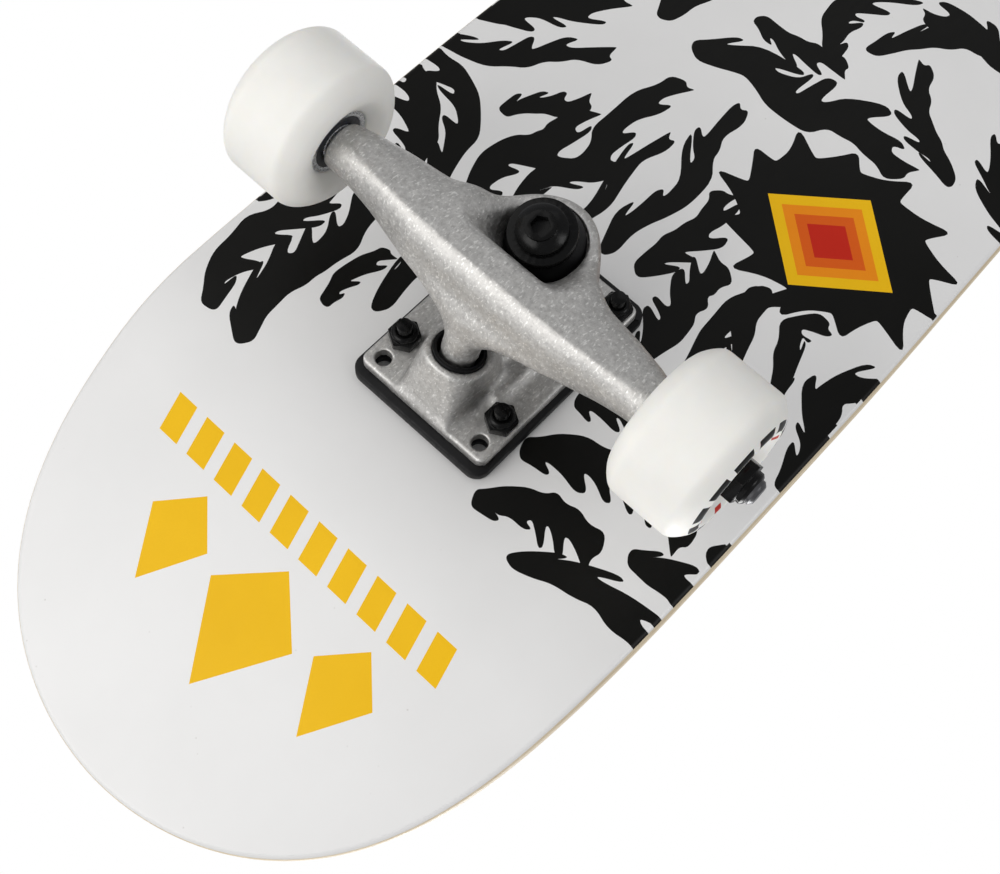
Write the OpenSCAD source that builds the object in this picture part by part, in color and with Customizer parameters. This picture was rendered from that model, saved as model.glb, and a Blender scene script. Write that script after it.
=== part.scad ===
// Complete skateboard: a seven-ply double-kick deck on two four-wheel trucks.
// Frame: +X towards the nose, +Y to the left, +Z up, standing on its wheels at z = 0,
// with the origin on the ground under the middle of the board's length.

/* [Deck] */
// Distance between the centres of the two bolt patterns
wheelbase = 416; // [400:1:440]
// Length from the front bolt pattern's centre to the nose tip
nose_len = 186; // [176:1:200]
// Length from the rear bolt pattern's centre to the tail tip
tail_len = 180; // [172:1:195]
// Width of the deck at its widest
deck_w = 195.7; // [185:0.1:215]
// How much narrower each side is at the middle of the board
waist = 2.5; // [0:0.1:5]
// Thickness of the board
deck_t = 11; // [9:0.5:13]
// Angle that the nose and the tail rise at
kick_deg = 17.8; // [14:0.1:22]
// Radius of the bend between the flat and each kick, on the underside
bend_r = 117; // [90:1:140]
// Rise of the board's long edges above its flat middle
concave = 2.5; // [0:0.1:5]
// Radius that the board's edges are rounded over to
edge_r = 4; // [2:0.5:5]
// Thickness of the grip tape
grip_t = 1; // [0.6:0.1:1.5]
// Thickness of the riser pad under each truck
riser_t = 4.5; // [3:0.5:6]

/* [Hardware] */
// Length of the bolt pattern
pattern_l = 54; // [52:0.1:56]
// Width of the bolt pattern
pattern_w = 41.3; // [40:0.1:43]
// Diameter of each bolt hole
bolt_hole_d = 5.4; // [5.2:0.1:6]
// Diameter of a truck bolt
bolt_d = 4.8; // [4.5:0.1:5]
// Length of a truck bolt with its head
bolt_l = 28.6; // [27:0.1:32]

/* [Truck] */
// Height of the axle's centre below the deck
axle_drop = 54.3; // [53:0.1:57]
// Distance of the axle from the bolt pattern's centre, towards the board's end
axle_x = 10.6; // [9.5:0.1:11.5]
// Width of the hanger between its two wheel faces
hanger_w = 124.8; // [122:0.2:130]
// Length of the axle
axle_l = 195; // [193:1:200]
// Diameter of the axle
axle_d = 7.94; // [7.9:0.01:7.96]
// Lean of the kingpin from upright
kingpin_lean = 14.5; // [13:0.1:16]
// Lean of the pivot cup from upright
pivot_lean = 17; // [15:0.1:19]

/* [Wheels] */
// Diameter of a wheel
wheel_d = 50.2; // [49:0.1:54]
// Width of a wheel
wheel_w = 31; // [30:0.1:32]
// Width of the flat tread
tread_w = 20; // [18:0.5:22]

/* [Hidden] */
$fn = 64;
SOFT_FN = 32;
// Length of a cutter that has to clear anything in its way
cut = 40;
FRONT = 1;
REAR = -1;
LEFT = 1;
RIGHT = -1;

// Where things are along the board
half_l = (nose_len + wheelbase + tail_len) / 2;
front_x = half_l - nose_len;
rear_x = tail_len - half_l;
wheel_r = wheel_d / 2;
ride_h = wheel_r + axle_drop;

// Deck outline: superellipse ends that start curve_in before the bolt pattern's centre
curve_in = 56;
outline_p = 5.05;
outline_q = 1.94;
bend_start = 50;
bend_arc = bend_r * kick_deg * PI / 180;
flat_share = 0.4;
curve_steps = 3;
bend_steps = 7;
tip_steps = 18;
mid_steps = 8;
across = [-1, -0.88, -0.74, -0.57, -flat_share, 0, flat_share, 0.57, 0.74, 0.88, 1];

// Baseplate and riser
plate_t = 4;
plate_x0 = -33;
plate_x1 = 42;
plate_w = 53;
plate_r = 3.5;
plate_z = -riser_t - plate_t;
riser_over = 3;
riser_side = 1.5;
spare_x = 36.5;
mound_w = 22;

// Kingpin: distances are along it from the top of its head, towards the deck
kingpin_x = -8.1;
kingpin_z = -59;
kingpin_d = 9.5;
head_r = 8;
head_h = 5.2;
kingpin_l = 55;
washer_t = 1.2;
washer_r = 10.6;
cup_h = 3.2;
web_top = 18.5;
web_t = 4.5;
ring_top = 15.5;
ring_bottom = 26;
ring_r = 17;
seat_k = 38.8;
bushing_r = 12.4;
nut_k = 47.5;
nut_h = 6.3;
nut_af = 14.2;

// Pivot: the ball's centre, and distances along the cup's axis from it, away from the deck
pivot_x = 25.6;
pivot_z = -20.7;
cup_mouth = 4.5;
cup_depth = 7.5;
cup_r = 8.4;
ball_r = 5.6;

// Axle stack, from the hanger's face outwards
speed_washer_t = 1;
bearing_w = 7;
bearing_r = 11;
spacer_l = 10;
hub_y = hanger_w / 2 + speed_washer_t;
wheel_y = hub_y + bearing_w + spacer_l / 2;
nut_y = hub_y + 2 * bearing_w + spacer_l + speed_washer_t;
axle_nut_h = 7.2;
axle_nut_af = 12.7;
arm_r = 7.5;

// Bearing insides
race_in_r = 6.1;
race_out_r = 9.1;
pitch_r = 7.6;
ball_d = 3.8;
balls = 7;
shield_t = 0.4;

TRUCK_PARTS = [
    "riser_pad", "baseplate", "pivot_cup", "kingpin", "kingpin_nut", "board_bushing", "road_bushing",
    "board_washer", "road_washer", "hanger", "axle", "axle_nuts", "speed_washers", "bearing_spacers",
    "mounting_bolts", "mounting_nuts"
];
WHEEL_PARTS = ["wheel", "outer_races", "inner_races", "bearing_balls", "bearing_shields"];

// ---- Deck geometry ----

function clamp(v, low, high) = min(max(v, low), high);
function end_x(end) = end == FRONT ? front_x : -rear_x;
function end_len(end) = end == FRONT ? nose_len : tail_len;
// Length along the board's surface from the bolt pattern's centre to the tip
function flat_len(end) =
    bend_start + bend_arc + (end_len(end) - bend_start - bend_r * sin(kick_deg)) / cos(kick_deg);
// Stations along one end, counted from the bolt pattern's centre, closer together at the tip
function end_stations(end) = let (bend_end = bend_start + bend_arc) concat(
    [for (i = [0 : curve_steps - 1]) -curve_in + (bend_start + curve_in) * i / curve_steps],
    [for (i = [0 : bend_steps - 1]) bend_start + bend_arc * i / bend_steps],
    [for (i = [0 : tip_steps]) bend_end + (flat_len(end) - bend_end) * sin(90 * i / tip_steps)]
);
function reversed(list) = [for (i = [len(list) - 1 : -1 : 0]) list[i]];
// Half of the board's width at a signed distance s along its surface from the middle
function half_w(s) =
    let (
        end = s >= 0 ? FRONT : REAR,
        reach = clamp((abs(s) - end_x(end) + curve_in) / (flat_len(end) + curve_in), 0, 1),
        middle = clamp(abs(s) / (end_x(end) - curve_in), 0, 1)
    )
    deck_w / 2 * pow(1 - pow(reach, outline_p), 1 / outline_q) - waist * pow(1 - middle * middle, 2);

stations = let (
        tail = [for (s = reversed(end_stations(REAR))) -end_x(REAR) - s],
        nose = [for (s = end_stations(FRONT)) end_x(FRONT) + s],
        from = tail[len(tail) - 1],
        to = nose[0]
    ) concat(tail, [for (i = [1 : mid_steps - 1]) from + (to - from) * i / mid_steps], nose);
rows = len(stations);
outline = concat(
    [for (i = [0 : rows - 1]) [stations[i], i == 0 || i == rows - 1 ? 0 : -half_w(stations[i])]],
    [for (i = [rows - 2 : -1 : 1]) [stations[i], half_w(stations[i])]]
);
edge_n = len(outline);

// The outline drawn in by d along its own normals
function inset(d) = [for (i = [0 : edge_n - 1])
    let (along = outline[(i + 1) % edge_n] - outline[(i + edge_n - 1) % edge_n])
    outline[i] + d * [-along[1], along[0]] / norm(along)];
// Rise of the concave at y, fading out as the board narrows
function rise(s, y) =
    let (w = max(half_w(s), 1), out = clamp((abs(y) / w - flat_share) / (1 - flat_share), 0, 1))
    concave * out * out * pow(w / (deck_w / 2), 2);
// A point h above the underside, bent up with the kicks
function lift(s, y, h) =
    let (
        end = s >= 0 ? FRONT : REAR,
        flat = end_x(end) + bend_start,
        past = abs(s) - flat,
        angle = clamp(past / bend_r * 180 / PI, 0, kick_deg),
        up = h + rise(s, y),
        straight = max(past - bend_arc, 0)
    )
    [
        end * (min(abs(s), flat) + (bend_r - up) * sin(angle) + straight * cos(angle)),
        y,
        ride_h + bend_r - (bend_r - up) * cos(angle) + straight * sin(angle)
    ];

// A closed sheet that follows the board. profile holds [inset, height] from its underside's rim
// round the edge to its top's rim.
module board_sheet(profile) {
    cols = len(across) - 1;
    last = len(profile) - 1;
    loops = [for (p = profile) inset(p[0])];
    inner_n = (rows - 2) * (cols - 1);
    function inner(k) = [for (i = [1 : rows - 2]) for (j = [1 : cols - 1])
        let (p = loops[k][i]) lift(p[0], -p[1] * across[j], profile[k][1])];
    points = concat(
        [for (k = [0 : last]) for (p = loops[k]) lift(p[0], p[1], profile[k][1])],
        inner(0),
        inner(last)
    );
    function rim(k, i) = k * edge_n + i % edge_n;
    function at(top, i, j) = j == 0 ? rim(top * last, i)
        : j == cols ? rim(top * last, edge_n - i)
        : (last + 1) * edge_n + top * inner_n + (i - 1) * (cols - 1) + j - 1;
    function facing(top, a, b, c) = top == 1 ? [a, b, c] : [c, b, a];
    faces = concat(
        [for (top = [0, 1]) for (i = [1 : rows - 3]) for (j = [0 : cols - 1]) for (half = [0, 1])
            half == 0
                ? facing(top, at(top, i, j), at(top, i, j + 1), at(top, i + 1, j + 1))
                : facing(top, at(top, i, j), at(top, i + 1, j + 1), at(top, i + 1, j))],
        [for (top = [0, 1]) for (j = [0 : cols - 1])
            facing(top, rim(top * last, 0), at(top, 1, j + 1), at(top, 1, j))],
        [for (top = [0, 1]) for (j = [0 : cols - 1])
            facing(top, at(top, rows - 2, j), at(top, rows - 2, j + 1), rim(top * last, rows - 1))],
        [for (k = [0 : last - 1]) for (i = [0 : edge_n - 1]) for (half = [0, 1])
            half == 0
                ? [rim(k, i), rim(k + 1, i), rim(k + 1, i + 1)]
                : [rim(k, i), rim(k + 1, i + 1), rim(k, i + 1)]]
    );
    polyhedron(points, faces);
}

// ---- Placing ----

module at_truck(end) {
    translate([end == FRONT ? front_x : rear_x, 0, ride_h])
        rotate([0, 0, end == FRONT ? 0 : 180]) children();
}

// The four holes of the bolt pattern, seen from the deck's underside
module at_bolts() {
    for (x = [-1, 1]) for (y = [-1, 1]) translate([x * pattern_l / 2, y * pattern_w / 2, 0]) children();
}

// Along the kingpin: z runs from the top of its head towards the deck
module at_kingpin() {
    translate([kingpin_x, 0, kingpin_z]) rotate([0, -kingpin_lean, 0]) children();
}

// Along the pivot cup: z runs from the ball's centre away from the deck
module at_pivot() {
    translate([pivot_x, 0, pivot_z]) rotate([0, 180 + pivot_lean, 0]) children();
}

// Along the axle on one side: z runs outwards from the middle of the hanger
module on_axle(side) {
    translate([axle_x, 0, -axle_drop]) rotate([-90 * side, 0, 0]) children();
}

// The centre of the wheel on one side, z outwards
module at_wheel(end, side) {
    at_truck(end) on_axle(end * side) translate([0, 0, wheel_y]) children();
}

// Both bearings of one wheel, each centred on z = 0
module at_bearings() {
    for (side = [-1, 1]) translate([0, 0, side * (spacer_l + bearing_w) / 2]) children();
}

module rounded_plate(x0, x1, w, r, h) {
    linear_extrude(h) {
        translate([x0 + r, -w / 2]) square([x1 - x0 - 2 * r, w]);
        translate([x0, r - w / 2]) square([x1 - x0, w - 2 * r]);
        for (x = [x0 + r, x1 - r]) for (y = [-1, 1]) translate([x, y * (w / 2 - r)]) circle(r);
    }
}

module ring(outer_r, inner_r, h) {
    difference() {
        cylinder(r = outer_r, h = h);
        translate([0, 0, -1]) cylinder(r = inner_r, h = h + 2);
    }
}

// A hexagonal nut with a nylon collar on the z side
module lock_nut(across_flats, hex_h, collar_r, h, hole_r) {
    difference() {
        union() {
            cylinder(r = across_flats / sqrt(3), h = hex_h, $fn = 6);
            cylinder(r = collar_r, h = h - 0.8);
            translate([0, 0, h - 0.8]) cylinder(r1 = collar_r, r2 = collar_r - 0.8, h = 0.8);
        }
        translate([0, 0, -1]) cylinder(r = hole_r, h = h + 2);
    }
}

// ---- Deck and grip ----

module deck() {
    turns = [0, 30, 60, 90];
    profile = concat(
        [for (a = turns) [edge_r * (1 - sin(a)), edge_r * (1 - cos(a))]],
        [for (a = reversed(turns)) [edge_r * (1 - sin(a)), deck_t - edge_r * (1 - cos(a))]]
    );
    sink_r = 4.8;
    color("burlywood") difference() {
        board_sheet(profile);
        for (end = [FRONT, REAR]) at_truck(end) at_bolts() {
            translate([0, 0, -1]) cylinder(d = bolt_hole_d, h = deck_t + 2);
            translate([0, 0, deck_t - sink_r + bolt_d / 2])
                cylinder(r1 = bolt_d / 2, r2 = sink_r, h = sink_r - bolt_d / 2);
        }
    }
}

module grip_tape() {
    head_hole_r = 5.2;
    color("dimgray") difference() {
        board_sheet([[edge_r, deck_t], [edge_r, deck_t + grip_t]]);
        for (end = [FRONT, REAR]) at_truck(end) at_bolts() translate([0, 0, deck_t - 1])
            cylinder(r = head_hole_r, h = grip_t + 2);
    }
}

// ---- Truck, drawn with the bolt pattern's centre at the origin and the deck above z = 0 ----

module bolt_holes() {
    at_bolts() translate([0, 0, -cut]) cylinder(d = bolt_hole_d, h = cut + 1);
    for (y = [-1, 1]) translate([spare_x, y * pattern_w / 2, -cut]) cylinder(d = bolt_hole_d, h = cut + 1);
}

module riser_pad() {
    color([0.06, 0.06, 0.06]) difference() {
        translate([0, 0, -riser_t]) rounded_plate(
            plate_x0 - riser_over, plate_x1 + riser_over,
            plate_w + 2 * riser_side, plate_r + riser_side, riser_t
        );
        bolt_holes();
    }
}

module baseplate() {
    rim_r = 11.8;
    rim_h = 3;
    seat_r = 13.6;
    seat_h = 3;
    mound_x = 12;
    boss_x = -20.5;
    boss_r = 12.5;
    rib_h = 9;
    rib_x = 14;
    nut_room_r = 8.8;
    color([0.66, 0.66, 0.67]) difference() {
        union() {
            translate([0, 0, plate_z]) rounded_plate(plate_x0, plate_x1, plate_w, plate_r, plate_t);
            // Mound that carries the pivot cup, flush with the plate's outer edge
            hull() {
                at_pivot() translate([0, 0, cup_mouth - rim_h])
                    cylinder(r = rim_r, h = rim_h, $fn = SOFT_FN);
                translate([mound_x, -mound_w / 2, plate_z])
                    cube([plate_x1 - mound_x, mound_w, plate_t / 2]);
            }
            // Boss that carries the kingpin
            hull() {
                at_kingpin() translate([0, 0, seat_k]) cylinder(r = seat_r, h = seat_h, $fn = SOFT_FN);
                translate([boss_x, 0, plate_z]) cylinder(r = boss_r, h = 1, $fn = SOFT_FN);
                translate([-12, -mound_w / 2, plate_z]) cube([10, mound_w, 1]);
            }
            // Rib between the two
            hull() {
                translate([-rib_x, -6, plate_z + 1 - rib_h]) cube([4, 12, rib_h]);
                translate([rib_x, -7, plate_z + 1 - rib_h]) cube([4, 14, rib_h]);
            }
        }
        bolt_holes();
        at_pivot() translate([0, 0, -cup_depth]) cylinder(r = cup_r, h = cut);
        at_kingpin() translate([0, 0, seat_k - 1]) cylinder(r = kingpin_d / 2 + 0.15, h = cut);
        at_kingpin() translate([0, 0, nut_k]) cylinder(r = nut_room_r, h = cut);
        translate([-2 * cut, -2 * cut, -riser_t]) cube(4 * cut);
    }
}

module pivot_cup() {
    mouth_r = 7.3;
    inner_r = ball_r + 0.3;
    color([0.05, 0.05, 0.05]) at_pivot() difference() {
        translate([0, 0, -cup_depth]) cylinder(r = cup_r, h = cup_depth + cup_mouth + 0.6);
        sphere(r = inner_r);
        cylinder(r1 = inner_r, r2 = mouth_r, h = cup_mouth + 0.61);
    }
}

module kingpin() {
    socket_r = 3.1;
    dome_r = 12;
    color([0.08, 0.08, 0.08]) at_kingpin() difference() {
        union() {
            intersection() {
                cylinder(r = head_r, h = head_h);
                translate([0, 0, dome_r]) sphere(r = dome_r);
            }
            cylinder(d = kingpin_d, h = kingpin_l);
        }
        translate([0, 0, -1]) cylinder(r = socket_r, h = 4.2, $fn = 6);
    }
}

module kingpin_nut() {
    color([0.08, 0.08, 0.08]) at_kingpin() translate([0, 0, nut_k])
        lock_nut(nut_af, nut_h - 1.8, nut_af / 2 - 0.5, nut_h, kingpin_d / 2 + 0.05);
}

// A cup washer with its flat on z = 0 and its rim standing up z
module cup_washer() {
    wall = 1;
    color([0.1, 0.1, 0.1]) difference() {
        cylinder(r = washer_r, h = cup_h);
        translate([0, 0, washer_t]) cylinder(r = washer_r - wall, h = cup_h);
        translate([0, 0, -1]) cylinder(r = kingpin_d / 2 + 0.2, h = cup_h + 2);
    }
}

module road_washer() {
    at_kingpin() translate([0, 0, head_h]) cup_washer();
}

module board_washer() {
    at_kingpin() translate([0, 0, seat_k]) mirror([0, 0, 1]) cup_washer();
}

// A urethane bushing from z = 0, narrow for the length of a washer's cup and full at h
module bushing(h) {
    neck_r = washer_r - 1.2;
    bore_r = kingpin_d / 2 + 0.25;
    color([0.04, 0.04, 0.04]) rotate_extrude() polygon([
        [bore_r, 0], [neck_r, 0], [neck_r, cup_h - washer_t + 0.3], [bushing_r, h * 0.62],
        [bushing_r, h - 1.5], [bushing_r - 1, h], [bore_r, h]
    ]);
}

module road_bushing() {
    start = head_h + washer_t;
    at_kingpin() translate([0, 0, start]) bushing(web_top - start);
}

module board_bushing() {
    start = seat_k - washer_t;
    at_kingpin() translate([0, 0, start]) mirror([0, 0, 1]) bushing(start - web_top - web_t);
}

// Half of an arm's inner end, as an ellipsoid on one side of the yoke
module yoke_end(side) {
    translate([9.5, side * 17, -51.5]) scale([15, 8, 10.5]) sphere(1, $fn = SOFT_FN);
}

module hanger() {
    seat_r = bushing_r + 0.5;
    web_hole_r = 7.5;
    wall_x = 11.6;
    wall_w = 25;
    room_k = ring_top - 5;
    color([0.7, 0.7, 0.71]) difference() {
        union() {
            // Arms, from each wheel's face in to the yoke
            for (side = [LEFT, RIGHT]) hull() {
                on_axle(side) translate([0, 0, hanger_w / 2 - 1]) cylinder(r = arm_r, h = 1, $fn = SOFT_FN);
                yoke_end(side);
            }
            // Yoke across the middle
            hull() {
                yoke_end(LEFT);
                yoke_end(RIGHT);
            }
            // Neck down to the pivot's ball
            hull() {
                translate([15, 0, -49]) scale([11, 17, 7]) sphere(1, $fn = SOFT_FN);
                at_pivot() translate([0, 0, 9]) sphere(ball_r + 0.4, $fn = SOFT_FN);
            }
            at_pivot() cylinder(r = ball_r - 0.4, h = 12);
            at_pivot() sphere(ball_r);
            // Ring round the kingpin, and the web that ties it into the yoke
            at_kingpin() translate([0, 0, ring_top]) cylinder(r = ring_r, h = ring_bottom - ring_top);
            hull() {
                at_kingpin() translate([0, 0, ring_top])
                    cylinder(r = ring_r, h = ring_bottom - ring_top, $fn = SOFT_FN);
                translate([15, 0, -46]) scale([9, 15, 8]) sphere(1, $fn = SOFT_FN);
            }
        }
        at_kingpin() {
            // Room over the road-side bushing, with a straight wall along the yoke
            translate([0, 0, -cut]) linear_extrude(cut + room_k) intersection() {
                circle(r = ring_r - 1.5);
                translate([-ring_r, -ring_r]) square([ring_r + wall_x, 2 * ring_r]);
            }
            translate([-2, -wall_w / 2, -cut]) cube([2 + wall_x, wall_w, cut + room_k]);
            translate([-ring_r - 5, -ring_r - 5, -cut]) cube([ring_r + 5, 2 * ring_r + 10, cut + ring_top]);
            // Seats for both bushings
            translate([0, 0, ring_top - 6]) cylinder(r = seat_r, h = web_top - ring_top + 6);
            translate([0, 0, ring_top]) cylinder(r1 = ring_r - 2, r2 = seat_r, h = web_top - ring_top);
            translate([0, 0, web_top + web_t]) cylinder(r = seat_r, h = cut);
            translate([0, 0, ring_bottom]) cylinder(r = ring_r + 1, h = cut);
            cylinder(r = web_hole_r, h = 2 * cut);
        }
        on_axle(LEFT) translate([0, 0, -hanger_w]) cylinder(d = axle_d, h = 2 * hanger_w);
    }
}

module axle() {
    tip = 1;
    color([0.12, 0.12, 0.12]) on_axle(LEFT) {
        translate([0, 0, tip - axle_l / 2]) cylinder(d = axle_d, h = axle_l - 2 * tip);
        for (side = [0, 1]) mirror([0, 0, side]) translate([0, 0, axle_l / 2 - tip])
            cylinder(d1 = axle_d, d2 = axle_d - 2 * tip, h = tip);
    }
}

module axle_nuts() {
    color([0.08, 0.08, 0.08]) for (side = [LEFT, RIGHT]) on_axle(side) translate([0, 0, nut_y])
        lock_nut(axle_nut_af, axle_nut_h - 2.4, axle_nut_af / 2 - 1, axle_nut_h, axle_d / 2 + 0.05);
}

module speed_washers() {
    color([0.35, 0.35, 0.36]) for (side = [LEFT, RIGHT]) on_axle(side)
        for (z = [hanger_w / 2, nut_y - speed_washer_t]) translate([0, 0, z])
            ring(5.9, axle_d / 2 + 0.05, speed_washer_t);
}

module bearing_spacers() {
    color("silver") for (side = [LEFT, RIGHT]) on_axle(side)
        translate([0, 0, wheel_y - spacer_l / 2]) ring(5.2, axle_d / 2 + 0.08, spacer_l);
}

module mounting_bolts() {
    head_bolt_r = 4.6;
    cross_w = 1;
    cross_l = 4.8;
    cross_t = 1.6;
    color([0.08, 0.08, 0.08]) at_bolts() translate([0, 0, deck_t]) difference() {
        union() {
            translate([0, 0, -bolt_l]) cylinder(d = bolt_d, h = bolt_l - 1);
            translate([0, 0, bolt_d / 2 - head_bolt_r])
                cylinder(r1 = bolt_d / 2, r2 = head_bolt_r, h = head_bolt_r - bolt_d / 2);
        }
        // Cross recess for a screwdriver
        for (turn = [0, 90]) rotate([0, 0, turn]) translate([-cross_l / 2, -cross_w / 2, -cross_t])
            cube([cross_l, cross_w, cross_t + 1]);
    }
}

module mounting_nuts() {
    color([0.07, 0.07, 0.07]) at_bolts() translate([0, 0, plate_z]) mirror([0, 0, 1])
        lock_nut(9.5, 3.6, 4.3, 5.6, bolt_d / 2 + 0.05);
}

// ---- Wheel, drawn round z with its centre at the origin and its outside at +z ----

module wheel() {
    core_r = 9;
    seat_z = spacer_l / 2 + bearing_w;
    half = wheel_w / 2;
    side = [
        [bearing_r, seat_z], [bearing_r + 0.6, seat_z + 0.7],
        [15.2, half - 0.5], [16.6, half], [18.4, half - 0.1],
        [20.6, half - 1], [22.7, half - 2.6], [24.2, half - 4.2], [wheel_r - 0.1, tread_w / 2 + 0.3],
        [wheel_r, tread_w / 2 - 0.6]
    ];
    inside = [[core_r, spacer_l / 2], [bearing_r, spacer_l / 2]];
    color([0.96, 0.95, 0.91]) rotate_extrude() polygon(concat(
        inside, side,
        reversed([for (p = side) [p[0], -p[1]]]),
        reversed([for (p = inside) [p[0], -p[1]]])
    ));
}

module outer_races() {
    color("gainsboro") at_bearings() rotate_extrude() difference() {
        translate([race_out_r, -bearing_w / 2]) square([bearing_r - race_out_r, bearing_w]);
        translate([pitch_r, 0]) circle(d = ball_d + 0.3);
    }
}

module inner_races() {
    color("gainsboro") at_bearings() rotate_extrude() difference() {
        translate([axle_d / 2 + 0.03, -bearing_w / 2]) square([race_in_r - axle_d / 2 - 0.03, bearing_w]);
        translate([pitch_r, 0]) circle(d = ball_d + 0.3);
    }
}

module bearing_balls() {
    cage_w = 1.4;
    color("silver") at_bearings() {
        for (i = [0 : balls - 1]) rotate([0, 0, 360 * i / balls])
            translate([pitch_r, 0, 0]) sphere(d = ball_d);
        translate([0, 0, ball_d / 2 + 0.1]) ring(pitch_r + cage_w / 2, pitch_r - cage_w / 2, 0.7);
    }
}

module bearing_shields() {
    color([0.06, 0.07, 0.08]) at_bearings() for (side = [0, 1]) mirror([0, 0, side])
        translate([0, 0, bearing_w / 2 - 0.1 - shield_t]) ring(race_out_r, race_in_r + 0.4, shield_t);
}

deck();
grip_tape();
at_truck(FRONT) riser_pad();  // front_riser_pad
at_truck(FRONT) baseplate();  // front_baseplate
at_truck(FRONT) pivot_cup();  // front_pivot_cup
at_truck(FRONT) kingpin();  // front_kingpin
at_truck(FRONT) kingpin_nut();  // front_kingpin_nut
at_truck(FRONT) board_bushing();  // front_board_bushing
at_truck(FRONT) road_bushing();  // front_road_bushing
at_truck(FRONT) board_washer();  // front_board_washer
at_truck(FRONT) road_washer();  // front_road_washer
at_truck(FRONT) hanger();  // front_hanger
at_truck(FRONT) axle();  // front_axle
at_truck(FRONT) axle_nuts();  // front_axle_nuts
at_truck(FRONT) speed_washers();  // front_speed_washers
at_truck(FRONT) bearing_spacers();  // front_bearing_spacers
at_truck(FRONT) mounting_bolts();  // front_mounting_bolts
at_truck(FRONT) mounting_nuts();  // front_mounting_nuts
at_truck(REAR) riser_pad();  // rear_riser_pad
at_truck(REAR) baseplate();  // rear_baseplate
at_truck(REAR) pivot_cup();  // rear_pivot_cup
at_truck(REAR) kingpin();  // rear_kingpin
at_truck(REAR) kingpin_nut();  // rear_kingpin_nut
at_truck(REAR) board_bushing();  // rear_board_bushing
at_truck(REAR) road_bushing();  // rear_road_bushing
at_truck(REAR) board_washer();  // rear_board_washer
at_truck(REAR) road_washer();  // rear_road_washer
at_truck(REAR) hanger();  // rear_hanger
at_truck(REAR) axle();  // rear_axle
at_truck(REAR) axle_nuts();  // rear_axle_nuts
at_truck(REAR) speed_washers();  // rear_speed_washers
at_truck(REAR) bearing_spacers();  // rear_bearing_spacers
at_truck(REAR) mounting_bolts();  // rear_mounting_bolts
at_truck(REAR) mounting_nuts();  // rear_mounting_nuts
at_wheel(FRONT, LEFT) wheel();  // front_left_wheel
at_wheel(FRONT, LEFT) outer_races();  // front_left_outer_races
at_wheel(FRONT, LEFT) inner_races();  // front_left_inner_races
at_wheel(FRONT, LEFT) bearing_balls();  // front_left_bearing_balls
at_wheel(FRONT, LEFT) bearing_shields();  // front_left_bearing_shields
at_wheel(FRONT, RIGHT) wheel();  // front_right_wheel
at_wheel(FRONT, RIGHT) outer_races();  // front_right_outer_races
at_wheel(FRONT, RIGHT) inner_races();  // front_right_inner_races
at_wheel(FRONT, RIGHT) bearing_balls();  // front_right_bearing_balls
at_wheel(FRONT, RIGHT) bearing_shields();  // front_right_bearing_shields
at_wheel(REAR, LEFT) wheel();  // rear_left_wheel
at_wheel(REAR, LEFT) outer_races();  // rear_left_outer_races
at_wheel(REAR, LEFT) inner_races();  // rear_left_inner_races
at_wheel(REAR, LEFT) bearing_balls();  // rear_left_bearing_balls
at_wheel(REAR, LEFT) bearing_shields();  // rear_left_bearing_shields
at_wheel(REAR, RIGHT) wheel();  // rear_right_wheel
at_wheel(REAR, RIGHT) outer_races();  // rear_right_outer_races
at_wheel(REAR, RIGHT) inner_races();  // rear_right_inner_races
at_wheel(REAR, RIGHT) bearing_balls();  // rear_right_bearing_balls
at_wheel(REAR, RIGHT) bearing_shields();  // rear_right_bearing_shields
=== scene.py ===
"""A skateboard on its wheels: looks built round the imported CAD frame."""

import math

import bmesh
import bpy
import numpy as np
from mathutils import Matrix, Vector, geometry


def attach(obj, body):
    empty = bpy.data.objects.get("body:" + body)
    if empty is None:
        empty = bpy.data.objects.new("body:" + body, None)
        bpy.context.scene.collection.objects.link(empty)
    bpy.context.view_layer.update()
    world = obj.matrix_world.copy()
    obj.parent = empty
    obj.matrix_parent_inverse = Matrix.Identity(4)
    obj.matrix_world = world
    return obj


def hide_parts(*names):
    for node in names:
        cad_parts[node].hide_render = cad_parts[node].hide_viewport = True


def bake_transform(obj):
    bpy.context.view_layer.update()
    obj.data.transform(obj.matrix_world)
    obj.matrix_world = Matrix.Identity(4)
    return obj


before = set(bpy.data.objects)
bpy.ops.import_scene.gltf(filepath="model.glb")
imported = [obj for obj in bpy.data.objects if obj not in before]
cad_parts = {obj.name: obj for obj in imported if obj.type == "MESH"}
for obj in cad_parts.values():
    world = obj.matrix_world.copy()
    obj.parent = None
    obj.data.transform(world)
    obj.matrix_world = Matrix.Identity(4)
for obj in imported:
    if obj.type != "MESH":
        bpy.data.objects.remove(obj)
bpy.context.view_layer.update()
scene = bpy.context.scene

# ---- Sizes, in mm ----
MM = 0.001
ENDS = ("front", "rear")
SIDES = ("left", "right")
# Board: the bolt patterns' centres, the two ends from there, the deck's section, its bends and its outline
FRONT_X, REAR_X, RIDE_H = 205.0, -211.0, 79.4
NOSE_LEN, TAIL_LEN = 186.0, 180.0
DECK_W, DECK_T, WAIST = 195.7, 11.0, 2.5
KICK, BEND_R, BEND_START = math.radians(17.8), 117.0, 50.0
BEND_ARC = BEND_R * KICK
CURVE_IN, OUTLINE_P, OUTLINE_Q = 56.0, 5.05, 1.94
CONCAVE, FLAT_SHARE, EDGE_R, GRIP_T = 2.5, 0.4, 4.0, 1.0
HOLES_X, HOLES_Y, SPARE_X = 27.0, 20.65, 36.5
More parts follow.
